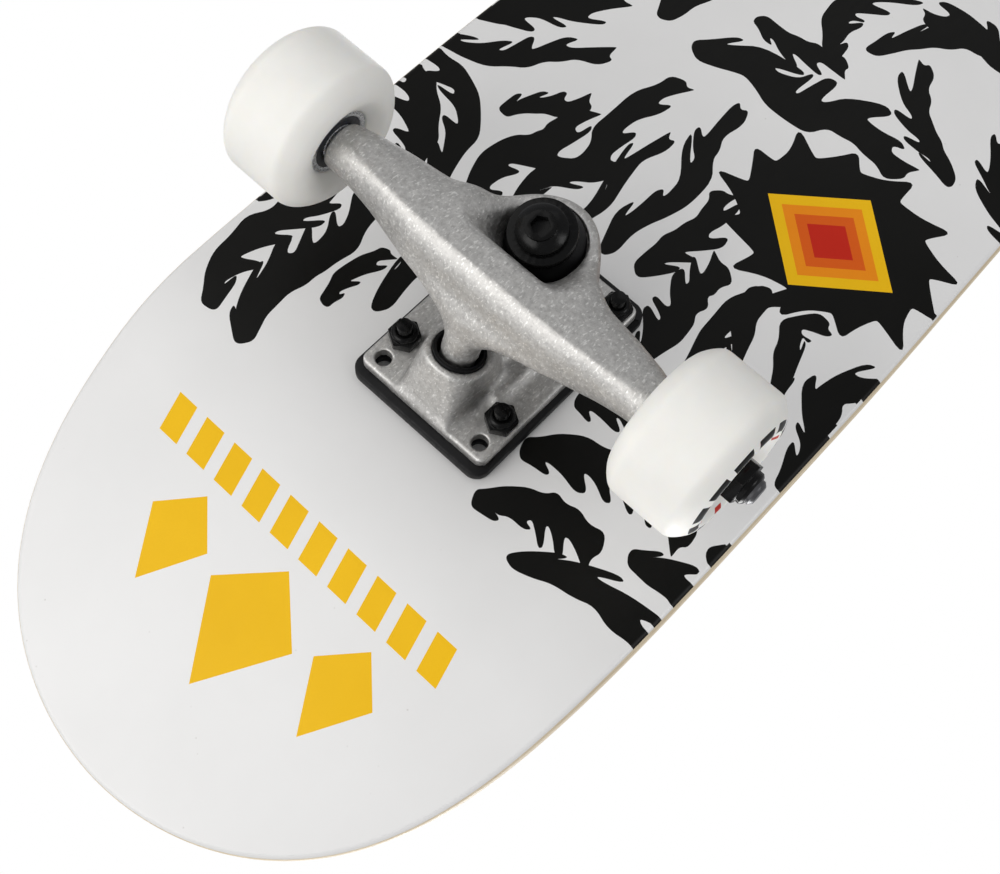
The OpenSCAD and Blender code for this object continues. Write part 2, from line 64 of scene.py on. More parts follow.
# Truck, from the middle of its bolt pattern at the deck's underside
HANGER_W, AXLE_X, AXLE_DROP, ARM_R = 124.8, 10.6, 54.3, 7.5
HEAD_TOP, KINGPIN_LEAN = np.array([-8.1, 0, -59.0]), math.radians(14.5)
PIVOT, PIVOT_LEAN = np.array([25.6, 0, -20.7]), math.radians(17.0)
RISER_T, PLATE_T, PLATE_X0, PLATE_X1, PLATE_W = 4.5, 4.0, -33.0, 42.0, 53.0
# Along the kingpin from the top of its head: the hanger's ring and web, the bushing seat, the nut
RING_R, RING_TOP, RING_BOTTOM, WEB_TOP, WEB_T, SEAT_K, NUT_K = 17.0, 15.5, 26.0, 18.5, 4.5, 38.8, 47.5
BUSHING_R, HEAD_H, WASHER_T, WASHER_R, CUP_H = 12.4, 5.2, 1.2, 10.6, 3.2
WHEEL_R, WHEEL_Y = 25.1, 75.4

# ---- Camera: under the nose, looking up at the front truck ----
TARGET = Vector((FRONT_X, 0, RIDE_H))
EYE = TARGET + Vector((171.71, -126.15, -414.10))
LOOK = Vector((-0.31898, 0.23166, 0.91902)).normalized()
RIGHT = Vector((-0.67965, -0.73173, -0.05145))
RIGHT = (RIGHT - RIGHT.dot(LOOK) * LOOK).normalized()
UP = RIGHT.cross(LOOK)


def facing(look, up, at):
    """World matrix of something that looks along look from the point at, in mm."""
    right = look.cross(up).normalized()
    up = right.cross(look)
    turn = Matrix((right, up, -look)).transposed().to_4x4()
    return Matrix.Translation(at * MM) @ turn


camera = bpy.data.objects.new("camera", bpy.data.cameras.new("camera"))
camera.data.lens, camera.data.sensor_width, camera.data.clip_start = 51.8, 36, 0.01
camera.matrix_world = facing(LOOK, UP, EYE)
scene.collection.objects.link(camera)
scene.camera = camera
scene.view_settings.view_transform = "Standard"

# ---- Lights and world ----
DOWN = Vector((0, 0, -1))
BOARD_MIDDLE = Vector((0, 0, 60))
HIGH_Z = 1200


def area_light(name, at, towards, size, power, tint=(1, 1, 1)):
    """A rectangle of light at a point in mm; its size is in metres and its power in watts."""
    light = bpy.data.lights.new(name, "AREA")
    light.shape, light.size, light.size_y = "RECTANGLE", size[0], size[1]
    light.energy, light.color = power, tint
    obj = bpy.data.objects.new(name, light)
    upright = UP if abs(at.z) < HIGH_Z else Vector((1, 0, 0))
    obj.matrix_world = facing((towards - at).normalized(), upright, at)
    scene.collection.objects.link(obj)


area_light("key", TARGET - RIGHT * 900 + DOWN * 850 + UP * 150, TARGET, (1.4, 1.9), 6.2, (1, 0.985, 0.96))
area_light("low_fill", TARGET - RIGHT * 800 - UP * 650 + DOWN * 450, TARGET, (1.0, 1.2), 1.8)
area_light("strip", TARGET + Vector((-350, -950, -700)), TARGET, (0.6, 0.5), 3.2)
area_light("nose_fill", TARGET + Vector((1250, 330, -900)), TARGET, (1.0, 1.0), 7.6, (1, 0.99, 0.97))
area_light("above_key", Vector((700, -700, 1500)), BOARD_MIDDLE, (1.0, 1.0), 21)
area_light("above_fill", Vector((-900, 700, 1300)), BOARD_MIDDLE, (1.2, 1.2), 12)
area_light("under_tail", Vector((-650, 300, -800)), Vector((-200, 0, 60)), (0.6, 0.6), 0.5)

# The camera sees white, and the board is lit by a dimmer, cooler white
world = bpy.data.worlds.new("studio")
scene.world = world
world.use_nodes = True
tree = world.node_tree
tree.nodes.clear()
path = tree.nodes.new("ShaderNodeLightPath")
seen = tree.nodes.new("ShaderNodeBackground")
seen.inputs["Color"].default_value = (1, 1, 1, 1)
lit = tree.nodes.new("ShaderNodeBackground")
lit.inputs["Color"].default_value = (0.97, 0.98, 1, 1)
lit.inputs["Strength"].default_value = 0.41
both = tree.nodes.new("ShaderNodeMixShader")
out = tree.nodes.new("ShaderNodeOutputWorld")
tree.links.new(path.outputs["Is Camera Ray"], both.inputs["Fac"])
tree.links.new(lit.outputs[0], both.inputs[1])
tree.links.new(seen.outputs[0], both.inputs[2])
tree.links.new(both.outputs[0], out.inputs["Surface"])


# ---- Material helpers ----


def principled(name, **values):
    """A material with a Principled shader. values are its sockets, with _ for a space."""
    mat = bpy.data.materials.new(name)
    mat.use_nodes = True
    shader = mat.node_tree.nodes["Principled BSDF"]
    for key, value in values.items():
        shader.inputs[key.replace("_", " ")].default_value = value
    return mat, shader


def add(mat, kind, inputs=None, **settings):
    """A new node; inputs are numbers or the sockets that feed it."""
    node = mat.node_tree.nodes.new("ShaderNode" + kind)
    for key, value in settings.items():
        setattr(node, key, value)
    for key, value in (inputs or {}).items():
        if isinstance(value, bpy.types.NodeSocket):
            mat.node_tree.links.new(value, node.inputs[key])
        else:
            node.inputs[key].default_value = value
    return node


def worked(mat, operation, *values):
    """The result of a math node."""
    return add(mat, "Math", dict(enumerate(values)), operation=operation).outputs[0]


def place_of(mat):
    """The surface point in metres, which moves with the piece."""
    return add(mat, "TexCoord").outputs["Object"]


def noise(mat, scale, detail=3.0, rough=0.55, stretch=None):
    """Noise with scale features to a metre."""
    at = place_of(mat)
    if stretch:
        at = add(mat, "Mapping", {"Vector": at, "Scale": stretch}).outputs["Vector"]
    made = add(mat, "TexNoise", {"Vector": at, "Scale": scale, "Detail": detail, "Roughness": rough})
    return made.outputs["Fac"]


def ramp(mat, value, *stops):
    """stops are (place, colour or grey)."""
    node = add(mat, "ValToRGB", {"Fac": value})
    points = node.color_ramp.elements
    while len(points) < len(stops):
        points.new(0.5)
    for point, (at, colour) in zip(points, stops):
        point.position = at
        point.color = (*colour, 1) if hasattr(colour, "__len__") else (colour, colour, colour, 1)
    return node.outputs["Color"]


def scaled(mat, value, low, high, start=0.3, end=0.7):
    """value from start to end, stretched to run from low to high."""
    ends = {"Value": value, "From Min": start, "From Max": end, "To Min": low, "To Max": high}
    return add(mat, "MapRange", ends).outputs["Result"]


def mixed(mat, fac, a, b):
    """a where fac is 0, b where it is 1; each is a socket, a colour or a number."""
    node = add(mat, "Mix", data_type="RGBA")
    for socket, value in ((node.inputs[0], fac), (node.inputs[6], a), (node.inputs[7], b)):
        if isinstance(value, bpy.types.NodeSocket):
            mat.node_tree.links.new(value, socket)
        elif hasattr(value, "__len__"):
            socket.default_value = (*value, 1)
        else:
            socket.default_value = value
    return node.outputs[2]


def bumps(mat, *layers):
    """layers are (height socket, strength, depth in metres)."""
    normal = None
    for height, strength, depth in layers:
        ins = {"Height": height, "Strength": strength, "Distance": depth}
        if normal:
            ins["Normal"] = normal
        normal = add(mat, "Bump", ins).outputs["Normal"]
    return normal


def feed(mat, shader, **sockets):
    """Links sockets to the shader's inputs, named with _ for a space."""
    for key, value in sockets.items():
        mat.node_tree.links.new(value, shader.inputs[key.replace("_", " ")])


def speckles(mat, scale, size):
    """1 in small spots, 0 between them."""
    cells = add(mat, "TexVoronoi", {"Vector": place_of(mat), "Scale": scale}, feature="F1")
    return scaled(mat, cells.outputs["Distance"], 1.0, 0.0, size * 0.6, size)


# ---- Materials ----
SCUFF_STRETCH = (1, 9, 1)
PLIES = 7.0


def lacquer_material():
    """White lacquer with small specks, and scuffs that run across the board."""
    mat, shader = principled("lacquer_white", Roughness=0.38, Coat_Weight=0.15, Coat_Roughness=0.2)
    cloud = noise(mat, 14, 4)
    tone = ramp(mat, cloud, (0.3, (0.735, 0.73, 0.725)), (0.7, (0.78, 0.775, 0.77)))
    specks = worked(mat, "MULTIPLY", speckles(mat, 160, 0.06), scaled(mat, noise(mat, 30), 0, 0.5, 0.5, 0.62))
    tone = mixed(mat, specks, tone, (0.5, 0.48, 0.46))
    scuffs = noise(mat, 90, 6, 0.7, SCUFF_STRETCH)
    normal = bumps(mat, (noise(mat, 55, 2), 0.1, 0.0012), (scuffs, 0.02, 0.0001))
    feed(mat, shader, Base_Color=tone, Roughness=scaled(mat, scuffs, 0.34, 0.4), Normal=normal)
    return mat


def ink_material(name, low, high, rough=0.34):
    """Printed ink that varies from the colour low to high."""
    mat, shader = principled(name, Roughness=rough, Specular_IOR_Level=0.12)
    # Dots of the printing screen over a slow change in how thick the ink lies
    dots = add(mat, "TexVoronoi", {"Vector": place_of(mat), "Scale": 1500}, feature="F1").outputs["Distance"]
    thick = scaled(mat, dots, 0, 0.3, 0.2, 0.7)
    tone = mixed(mat, thick, ramp(mat, noise(mat, 24, 4), (0.3, low), (0.7, high)), low)
    scuffs = noise(mat, 90, 6, 0.7, SCUFF_STRETCH)
    feed(mat, shader, Base_Color=tone, Roughness=scaled(mat, scuffs, rough - 0.06, rough + 0.08),
         Normal=bumps(mat, (noise(mat, 55, 2), 0.1, 0.0012)))
    return mat


def ply_material():
    """Seven veneers, read from the height that the UV map stores."""
    mat, shader = principled("ply_edge", Roughness=0.55)
    uv = add(mat, "UVMap", uv_map="board").outputs["UV"]
    height = add(mat, "SeparateXYZ", {"Vector": uv}).outputs["Y"]
    plies = worked(mat, "MULTIPLY", height, PLIES)
    glue = scaled(mat, worked(mat, "FRACT", plies), 1, 0, 0.02, 0.1)
    which = worked(mat, "FLOOR", plies)
    shade = add(mat, "TexWhiteNoise", {"W": which}, noise_dimensions="1D").outputs["Value"]
    grain = noise(mat, 220, 5, 0.6, (0.12, 0.12, 4))
    tone = ramp(mat, grain, (0.3, (0.62, 0.50, 0.33)), (0.7, (0.78, 0.68, 0.50)))
    tone = mixed(mat, scaled(mat, shade, 0, 0.5, 0, 1), tone, (0.66, 0.53, 0.35))
    tone = mixed(mat, glue, tone, (0.45, 0.34, 0.21))
    feed(mat, shader, Base_Color=tone, Roughness=scaled(mat, grain, 0.45, 0.65),
         Normal=bumps(mat, (grain, 0.3, 0.0002), (glue, 0.2, 0.0001)))
    return mat


def grit_material():
    """Black grit with a few grains that catch the light."""
    mat, shader = principled("grit", Roughness=0.9)
    cells = add(mat, "TexVoronoi", {"Vector": place_of(mat), "Scale": 1700}, feature="F1")
    sparkle = scaled(mat, cells.outputs["Color"], 0, 1, 0.86, 0.97)
    tone = mixed(mat, sparkle, ramp(mat, noise(mat, 9, 5), (0.3, 0.012), (0.75, 0.032)), (0.16, 0.16, 0.17))
    feed(mat, shader, Base_Color=tone, Roughness=scaled(mat, sparkle, 0.95, 0.45, 0, 1),
         Normal=bumps(mat, (cells.outputs["Distance"], 0.9, 0.0004), (noise(mat, 900, 2), 0.5, 0.0003)))
    return mat


def cast_material():
    """Tumbled aluminium: fine mottling, short scratches, edges rubbed brighter."""
    mat, shader = principled("cast_aluminium", Metallic=1.0, Roughness=0.45)
    fine, mid, slow = noise(mat, 2300, 3), noise(mat, 640, 5, 0.72), noise(mat, 50, 4)
    tone = ramp(mat, mid, (0.32, (0.44, 0.43, 0.417)), (0.68, (0.70, 0.69, 0.672)))
    tone = mixed(mat, scaled(mat, slow, 0, 0.25, 0.35, 0.7), tone, (0.39, 0.385, 0.372))
    scratch = scaled(mat, noise(mat, 1100, 2, 0.5, (0.5, 1.3, 1)), 0, 0.65, 0.58, 0.68)
    pits = scaled(mat, noise(mat, 1500, 2), 0, 0.35, 0.6, 0.74)
    tone = mixed(mat, scratch, tone, (0.9, 0.89, 0.87))
    tone = mixed(mat, pits, tone, (0.17, 0.165, 0.16))
    worn = scaled(mat, add(mat, "NewGeometry").outputs["Pointiness"], 0, 0.7, 0.53, 0.62)
    tone = mixed(mat, worn, tone, (0.76, 0.76, 0.76))
    cells = add(mat, "TexVoronoi", {"Vector": place_of(mat), "Scale": 420}, feature="SMOOTH_F1")
    dents = cells.outputs["Distance"]
    feed(mat, shader, Base_Color=tone, Roughness=scaled(mat, mid, 0.46, 0.62),
         Normal=bumps(mat, (dents, 0.14, 0.0006), (mid, 0.36, 0.0003), (fine, 0.3, 0.0001)))
    return mat


def hard_material(name, low, high, rough, metallic=0.0, grain=900, bump=0.1, **more):
    """Black oxide, plated steel, rubber and moulded plastic: small changes of tone and sheen."""
    mat, shader = principled(name, Metallic=metallic, Roughness=rough, **more)
    cloud, fine = noise(mat, 120, 4), noise(mat, grain, 3)
    feed(mat, shader, Base_Color=ramp(mat, cloud, (0.3, low), (0.7, high)),
         Roughness=scaled(mat, fine, max(rough - 0.07, 0.05), rough + 0.09),
         Normal=bumps(mat, (fine, bump, 0.0002)))
    return mat


def urethane_material():
    """White wheel urethane, a little light passing through it."""
    mat, shader = principled("urethane_white", Roughness=0.5, Specular_IOR_Level=0.3, Subsurface_Weight=0.25,
                             Subsurface_Scale=0.004, IOR=1.5)
    shader.inputs["Subsurface Radius"].default_value = (1.0, 0.8, 0.55)
    cloud = noise(mat, 60, 4)
    tone = ramp(mat, cloud, (0.3, (0.85, 0.84, 0.80)), (0.7, (0.89, 0.88, 0.845)))
    feed(mat, shader, Base_Color=tone, Roughness=scaled(mat, noise(mat, 500, 4), 0.46, 0.6),
         Normal=bumps(mat, (cloud, 0.08, 0.0008), (noise(mat, 900, 2), 0.06, 0.0001)))
    return mat


M = {
    "lacquer": lacquer_material(),
    "ink_black": ink_material("ink_black", (0.0035, 0.0035, 0.003), (0.0055, 0.0052, 0.0045)),
    "ink_yellow": ink_material("ink_yellow", (0.82, 0.47, 0.006), (0.88, 0.52, 0.009)),
    "ink_amber": ink_material("ink_amber", (0.80, 0.24, 0.008), (0.84, 0.28, 0.01)),
    "ink_orange": ink_material("ink_orange", (0.66, 0.10, 0.008), (0.72, 0.12, 0.01)),
    "ink_red": ink_material("ink_red", (0.50, 0.018, 0.008), (0.56, 0.024, 0.01)),
    "ply": ply_material(),
    "grit": grit_material(),
    "cast": cast_material(),
    "riser": hard_material("riser_rubber", (0.005, 0.005, 0.0055), (0.009, 0.009, 0.0095), 0.5,
                           grain=700, bump=0.25, Specular_IOR_Level=0.2),
    "urethane_white": urethane_material(),
    "urethane_black": hard_material("urethane_black", (0.003, 0.003, 0.0035), (0.006, 0.006, 0.0065), 0.36,
                                    Specular_IOR_Level=0.16),
    "black_steel": hard_material("black_steel", (0.002, 0.002, 0.002), (0.0035, 0.0035, 0.0035), 0.22,
                                 bump=0.03, Specular_IOR_Level=0.17),
    "axle_steel": hard_material("axle_steel", (0.07, 0.07, 0.075), (0.12, 0.12, 0.125), 0.32, 0.9),
    "bright_steel": hard_material("bright_steel", (0.58, 0.59, 0.61), (0.68, 0.69, 0.7), 0.26, 1.0,
                                  bump=0.015),
    "shield": hard_material("shield_black", (0.012, 0.013, 0.016), (0.02, 0.022, 0.027), 0.42, bump=0.06),
}

# ---- Floor: a white square, sizes in metres ----
FLOOR_HALF, FADE_START, FADE_END = 4.0, 0.7, 1.7


def floor_material():
    """Only its upper side shows, so that a camera below it sees the board, and it fades out with distance."""
    mat, shader = principled("floor", Roughness=0.75)
    tone = ramp(mat, noise(mat, 3, 3), (0.3, (0.80, 0.80, 0.80)), (0.7, (0.83, 0.83, 0.825)))
    feed(mat, shader, Base_Color=tone)
    clear = add(mat, "BsdfTransparent")
    away = add(mat, "VectorMath", {0: place_of(mat)}, operation="LENGTH").outputs["Value"]
    fade = add(mat, "MapRange", {"Value": away, "From Min": FADE_START, "From Max": FADE_END},
               interpolation_type="SMOOTHSTEP").outputs["Result"]
    hidden = worked(mat, "MAXIMUM", fade, add(mat, "NewGeometry").outputs["Backfacing"])
    side = add(mat, "MixShader", {"Fac": hidden, 1: shader.outputs[0], 2: clear.outputs[0]})
    mat.node_tree.links.new(side.outputs[0], mat.node_tree.nodes["Material Output"].inputs["Surface"])
    return mat


floor = bpy.data.objects.new("floor", bpy.data.meshes.new("floor"))
corners = [(x * FLOOR_HALF, y * FLOOR_HALF, 0) for x, y in ((-1, -1), (1, -1), (1, 1), (-1, 1))]
floor.data.from_pydata(corners, [], [(0, 1, 2, 3)])
floor.data.materials.append(floor_material())
floor.visible_diffuse = floor.visible_glossy = floor.visible_shadow = floor.visible_transmission = False
scene.collection.objects.link(floor)

# ---- The printed underside: jagged stripes, nested diamonds, slanted bars and kites ----
# All in mm, as (towards the nose, towards the left) from the front bolt pattern's centre.
# Each stripe: half its width, its teeth, and points along it.
STRIPES = [
    # beside the left wheel
    (7.5, 6, [(62, 60), (48, 68), (30, 68), (12, 64), (-6, 68)]),
    (7.0, 6, [(60, 76), (44, 86), (26, 86), (8, 81), (-8, 85)]),
    (5.5, 4, [(42, 101), (26, 105), (8, 99), (-10, 102)]),
    (4.0, 4, [(34, 51), (20, 53), (4, 50)]),
    (5.0, 3, [(24, 37), (10, 41), (-8, 40), (-18, 46)]),
    # behind the left wheel
    (6.5, 5, [(-18, 66), (-34, 74), (-48, 86), (-58, 104)]),
    (5.5, 5, [(-22, 56), (-36, 62), (-50, 66), (-60, 78), (-66, 104)]),
    (7.0, 6, [(-28, 44), (-48, 48), (-66, 40), (-84, 44)]),
    (4.5, 4, [(-62, 62), (-72, 56), (-80, 46), (-86, 40)]),
    (6.0, 6, [(-34, 30), (-52, 33), (-68, 24), (-92, 30), (-118, 24)]),
    (5.0, 5, [(-70, 104), (-76, 84), (-86, 72), (-98, 62), (-106, 48)]),
    (7.0, 5, [(-86, 104), (-94, 92), (-106, 84), (-116, 72), (-132, 66)]),
    (5.5, 4, [(-108, 104), (-118, 94), (-134, 90), (-150, 80)]),
    (3.2, 3, [(-44, 14), (-60, 12), (-78, 16), (-96, 10)]),
    # behind the kingpin and round the right wheel
    (5.0, 5, [(-44, -2), (-62, 0), (-84, -6), (-104, 2), (-124, 0)]),
    (5.5, 5, [(-46, -14), (-62, -17), (-78, -19), (-92, -14)]),
    (6.5, 6, [(-22, -35), (-38, -35), (-54, -32), (-70, -35)]),
    (4.5, 4, [(-28, -50), (-44, -48), (-60, -46), (-74, -50)]),
    (4.0, 4, [(-40, -60), (-54, -54), (-66, -50), (-76, -58)]),
    (4.5, 4, [(-44, -76), (-58, -70), (-68, -64), (-78, -72)]),
    (6.0, 5, [(-20, -97), (-38, -96), (-54, -88), (-66, -92), (-76, -106)]),
    (6.5, 5, [(50, -30), (41, -40), (35, -54), (34, -70)]),
    (7.5, 6, [(27, -29), (18, -40), (12, -54), (9, -72), (14, -88)]),
    (5.5, 4, [(56, -50), (49, -62), (44, -80), (48, -108)]),
    (6.0, 4, [(2, -30), (-6, -44), (-10, -58)]),
    (6.0, 4, [(29, -76), (26, -92), (31, -112)]),
    (5.5, 3, [(12, -93), (3, -114)]),
    # along the middle of the board
    (8.5, 7, [(-130, 32), (-141, 13), (-137, -8), (-146, -30), (-140, -56)]),
    (5.0, 4, [(-158, 24), (-157, 6), (-164, -14)]),
    (6.0, 5, [(-132, 48), (-150, 47), (-168, 42), (-186, 50)]),
    (5.0, 5, [(-150, -70), (-160, -50), (-172, -38), (-186, -34)]),
    (6.5, 5, [(-146, -104), (-156, -88), (-170, -78), (-190, -74)]),
    (5.0, 5, [(-158, 60), (-170, 72), (-178, 88), (-180, 104)]),
    (6.0, 6, [(-162, -8), (-178, 2), (-196, 0), (-212, -10)]),
    (5.0, 5, [(-174, -14), (-190, -22), (-204, -36), (-208, -56)]),
    (6.0, 5, [(-196, 70), (-204, 54), (-200, 36), (-210, 20)]),
    (5.5, 4, [(-196, 104), (-204, 92), (-216, 86)]),
]
# The nested diamonds, and the patch they lie on: half its width and height, its teeth
TILE = np.array([-102.0, -53.0])
DIAMONDS = (("ink_yellow", 27), ("ink_amber", 21), ("ink_orange", 15.5), ("ink_red", 10))
PATCH_AT, PATCH_HALF, PATCH_TEETH = (TILE[0] - 3, TILE[1]), (31, 40), 13
# The nose: one bar's corners, the bars' spacing, and each kite's place, length and half width
BAR, BAR_COUNT, BAR_Y, BAR_STEP = [(86, 0), (86, 8), (99, 5), (99, -3)], 10, -58, 12.6
KITES = ((121, -3, 46, 18), (117, 33, 34, 12.5), (117, -39, 34, 12.5))
PRINT_SEED = 11


def spline(points, steps):
    """Catmull-Rom through points, steps to each span."""
    p = np.array(points, float)
    p = np.vstack([2 * p[0] - p[1], p, 2 * p[-1] - p[-2]])
    t = np.linspace(0, 1, steps, endpoint=False)[:, None]
    out = []
    for a, b, c, d in zip(p[:-3], p[1:-2], p[2:-1], p[3:]):
        out.append(0.5 * (2 * b + (c - a) * t + (2 * a - 5 * b + 4 * c - d) * t**2
                          + (3 * b - a - 3 * c + d) * t**3))
    return np.vstack(out + [p[-2:-1]])


def rounded(loop, times):
    """Chaikin corner cutting of a closed loop."""
    for _ in range(times):
        after = np.roll(loop, -1, 0)
        loop = np.stack([loop * 0.78 + after * 0.22, loop * 0.22 + after * 0.78], 1).reshape(-1, 2)
    return loop


def jagged(half, teeth, points, rng):
    """A stripe whose two long edges end in tufts that lean along it."""
    line = spline(points, 14)
    step = np.linalg.norm(np.diff(line, axis=0), axis=1)
    along = np.concatenate([[0], np.cumsum(step)]) / step.sum()

    def at(t, out):
        """The point a share t along the stripe and out to its left."""
        t = np.clip(t, 0, 1)
        p = np.array([np.interp(t, along, line[:, k]) for k in (0, 1)])
        q = np.array([np.interp(min(t + 0.02, 1), along, line[:, k])
                      - np.interp(max(t - 0.02, 0), along, line[:, k]) for k in (0, 1)])
        q /= np.linalg.norm(q)
        return p + out * np.array([-q[1], q[0]])

    # Tufts down one edge, slow swells down the other
    marks = np.linspace(0, 1, teeth + 1)
    marks[1:-1] += rng.uniform(-0.3, 0.3, teeth - 1) / teeth
    flip = rng.choice((-1, 1))
    ragged, plain = [at(0, 0)], []
    for a, b in zip(marks[:-1], marks[1:]):
        swell = half * math.sin(math.pi * (0.1 + 0.8 * (a + b) / 2)) ** 0.6
        root, tip = swell * rng.uniform(0.45, 0.8), swell * rng.uniform(1.25, 1.9)
        reach, wide = b - a, rng.uniform(0.25, 0.45)
        lean = rng.uniform(0.3, 0.75) * reach
        ragged += [at(a + 0.05 * reach, flip * root),
                   at(a + 0.3 * reach + lean * 0.3, flip * tip * 0.62),
                   at(a + 0.5 * reach + lean, flip * tip),
                   at(a + (0.5 + wide) * reach + lean * 0.85, flip * tip * 0.9),
                   at(b - 0.12 * reach, flip * root * 1.1)]
        plain += [at(a + 0.2 * reach, -flip * swell * rng.uniform(0.75, 1.0)),
                  at(a + 0.7 * reach, -flip * swell * rng.uniform(0.9, 1.25))]
    return rounded(np.array(ragged + [at(1, 0)] + plain[::-1]), 2)


def patch(centre, radii, teeth, rng):
    """A dark patch with a tufted edge."""
    loop = []
    for i in range(teeth):
        for part, reach in ((0.0, 0.88), (0.45, 0.97), (0.8, rng.uniform(1.05, 1.3)), (0.92, 0.9)):
            a = 2 * math.pi * (i + part) / teeth
            loop.append((centre[0] + radii[0] * reach * math.cos(a),
                         centre[1] + radii[1] * reach * math.sin(a)))
    return rounded(np.array(loop), 2)


def circle(x, y, r, count=32):
    a = np.arange(count) * 2 * math.pi / count
    return np.stack([x + r * np.cos(a), y + r * np.sin(a)], 1)


def print_shapes():
    """[(ink, loop)] in the order they are printed."""
    rng = np.random.default_rng(PRINT_SEED)
    shapes = [("ink_black", jagged(*stripe, rng)) for stripe in STRIPES]
    shapes.append(("ink_black", patch(PATCH_AT, PATCH_HALF, PATCH_TEETH, rng)))
    for ink, r in DIAMONDS:
        shapes.append((ink, TILE + r * np.array([(0.85, 0), (0, 1), (-0.85, 0), (0, -1)])))
    # The rear half is the front half turned round
    shapes += [(ink, 2 * np.array([-FRONT_X, 0]) - loop) for ink, loop in shapes]
    for i in range(BAR_COUNT):
        shapes.append(("ink_yellow", np.array(BAR, float) + (0, BAR_Y + BAR_STEP * i)))
    for x, y, long, wide in KITES:
        kite = [(x + long * 0.62, y), (x, y + wide), (x - long * 0.38, y), (x, y - wide)]
        shapes.append(("ink_yellow", np.array(kite, float)))
    return shapes


# ---- Mesh helpers: points are in mm in the row frame ----


def new_piece(name, points, faces, materials, indices=None, normals=None, uv=None):
    """A piece from points in mm; indices pick each face's material."""
    mesh = bpy.data.meshes.new(name)
    corners = (np.asarray(points, float) * MM).tolist()
    mesh.from_pydata(corners, [], [list(map(int, f)) for f in faces])
    for key in materials:
        mesh.materials.append(M[key])
    mesh.polygons.foreach_set("use_smooth", np.ones(len(mesh.polygons), bool))
    if indices is not None:
        mesh.polygons.foreach_set("material_index", np.asarray(indices, np.int32))
    if uv is not None:
        loops = np.zeros(len(mesh.loops), np.int32)
        mesh.loops.foreach_get("vertex_index", loops)
        layer = mesh.uv_layers.new(name="board")
        layer.data.foreach_set("uv", np.asarray(uv, np.float32)[loops].ravel())
    mesh.validate()
    if normals is not None:
        mesh.normals_split_custom_set_from_vertices(np.asarray(normals, float).tolist())
    obj = bpy.data.objects.new(name, mesh)
    scene.collection.objects.link(obj)
    return obj


def at_truck(end, points):
    """Points in a truck's own frame, moved to the front or rear truck."""
    turn, x = (1, FRONT_X) if end == "front" else (-1, REAR_X)
    return np.asarray(points, float) * (turn, turn, 1) + (x, 0, RIDE_H)


def turned(end, normals):
    """Normals in a truck's own frame, turned to the front or rear truck."""
    return np.asarray(normals, float) * ((1, 1, 1) if end == "front" else (-1, -1, 1))


# ---- Board: the deck and its grip tape ----
# The corners are rounded less than in the CAD, so each tip is drawn in to end where the CAD's does
ROUND_R, TIP_SHARE = 2.4, 0.0012
# How high the print wraps round the edge
PRINT_H = 0.75
TIP_STEPS, MIDDLE_STEPS = 44, 40
GRID_S, GRID_Y, GRID_HALF, GRID_EDGE = 4.0, 6.0, 96, 2.0
UV_S = 100


def end_values(s):
    """How far the nearer bolt pattern is from the middle, and the length of the end beyond it."""
    front = s >= 0
    return np.where(front, FRONT_X, -REAR_X), np.where(front, NOSE_LEN, TAIL_LEN)


def flat_len(end_len):
    """Length along the surface from the bolt pattern's centre to the tip."""
    return BEND_START + BEND_ARC + (end_len - BEND_START - BEND_R * math.sin(KICK)) / math.cos(KICK)


def half_w(s):
    """Half the board's width at s along its surface."""
    end_x, end_len = end_values(s)
    reach = np.clip((abs(s) - end_x + CURVE_IN) / (flat_len(end_len) + CURVE_IN), 0, 1)
    middle = np.clip(abs(s) / (end_x - CURVE_IN), 0, 1)
    return DECK_W / 2 * (1 - reach**OUTLINE_P) ** (1 / OUTLINE_Q) - WAIST * (1 - middle**2) ** 2


def lift(s, y, h):
    """Points h above the underside at s along the board's surface and y across it."""
    w = np.maximum(half_w(s), 1)
    out = np.clip((abs(y) / w - FLAT_SHARE) / (1 - FLAT_SHARE), 0, 1)
    up = h + CONCAVE * out**2 * (w / (DECK_W / 2)) ** 2
    end_x, _ = end_values(s)
    flat = end_x + BEND_START
    past = abs(s) - flat
    angle = np.clip(past / BEND_R, 0, KICK)
    straight = np.maximum(past - BEND_ARC, 0)
    x = np.minimum(abs(s), flat) + (BEND_R - up) * np.sin(angle) + straight * np.cos(angle)
    z = RIDE_H + BEND_R - (BEND_R - up) * np.cos(angle) + straight * np.sin(angle)
    return np.stack([np.where(s >= 0, x, -x), y + 0 * x, z], -1)


def sheet_normals(s, y, h, side):
    """Unit normals of the sheet at height h, up for side 1 and down for side -1."""
    e = 0.4
    ds = lift(s + e, y, h) - lift(s - e, y, h)
    dy = lift(s, y + e, h) - lift(s, y - e, h)
    n = np.cross(ds, dy) * side
    return n / np.linalg.norm(n, axis=1)[:, None]


def end_stations(end_len, end_x):
    """Places along one end, closer together towards its tip."""
    bend_end = BEND_START + BEND_ARC
    tip = bend_end + (flat_len(end_len) - bend_end) * np.sin(np.linspace(0, math.pi / 2, TIP_STEPS))
    return end_x + np.concatenate([np.arange(-CURVE_IN, bend_end - 1, 5.0), tip])


def outline():
    """The board's outline as (s, y), anticlockwise seen from above, from the tail's tip."""
    nose, tail = end_stations(NOSE_LEN, FRONT_X), -end_stations(TAIL_LEN, -REAR_X)[::-1]
    middle = np.linspace(tail[-1], nose[0], MIDDLE_STEPS)[1:-1]
    s = np.concatenate([tail, middle, nose])
    w = half_w(s)
    w[0] = w[-1] = 0
    loop = np.concatenate([np.stack([s, -w], 1), np.stack([s, w], 1)[-2:0:-1]])
    centre = (FRONT_X + REAR_X) / 2
    loop[:, 0] = centre + (loop[:, 0] - centre) * (1 - TIP_SHARE)
    return loop


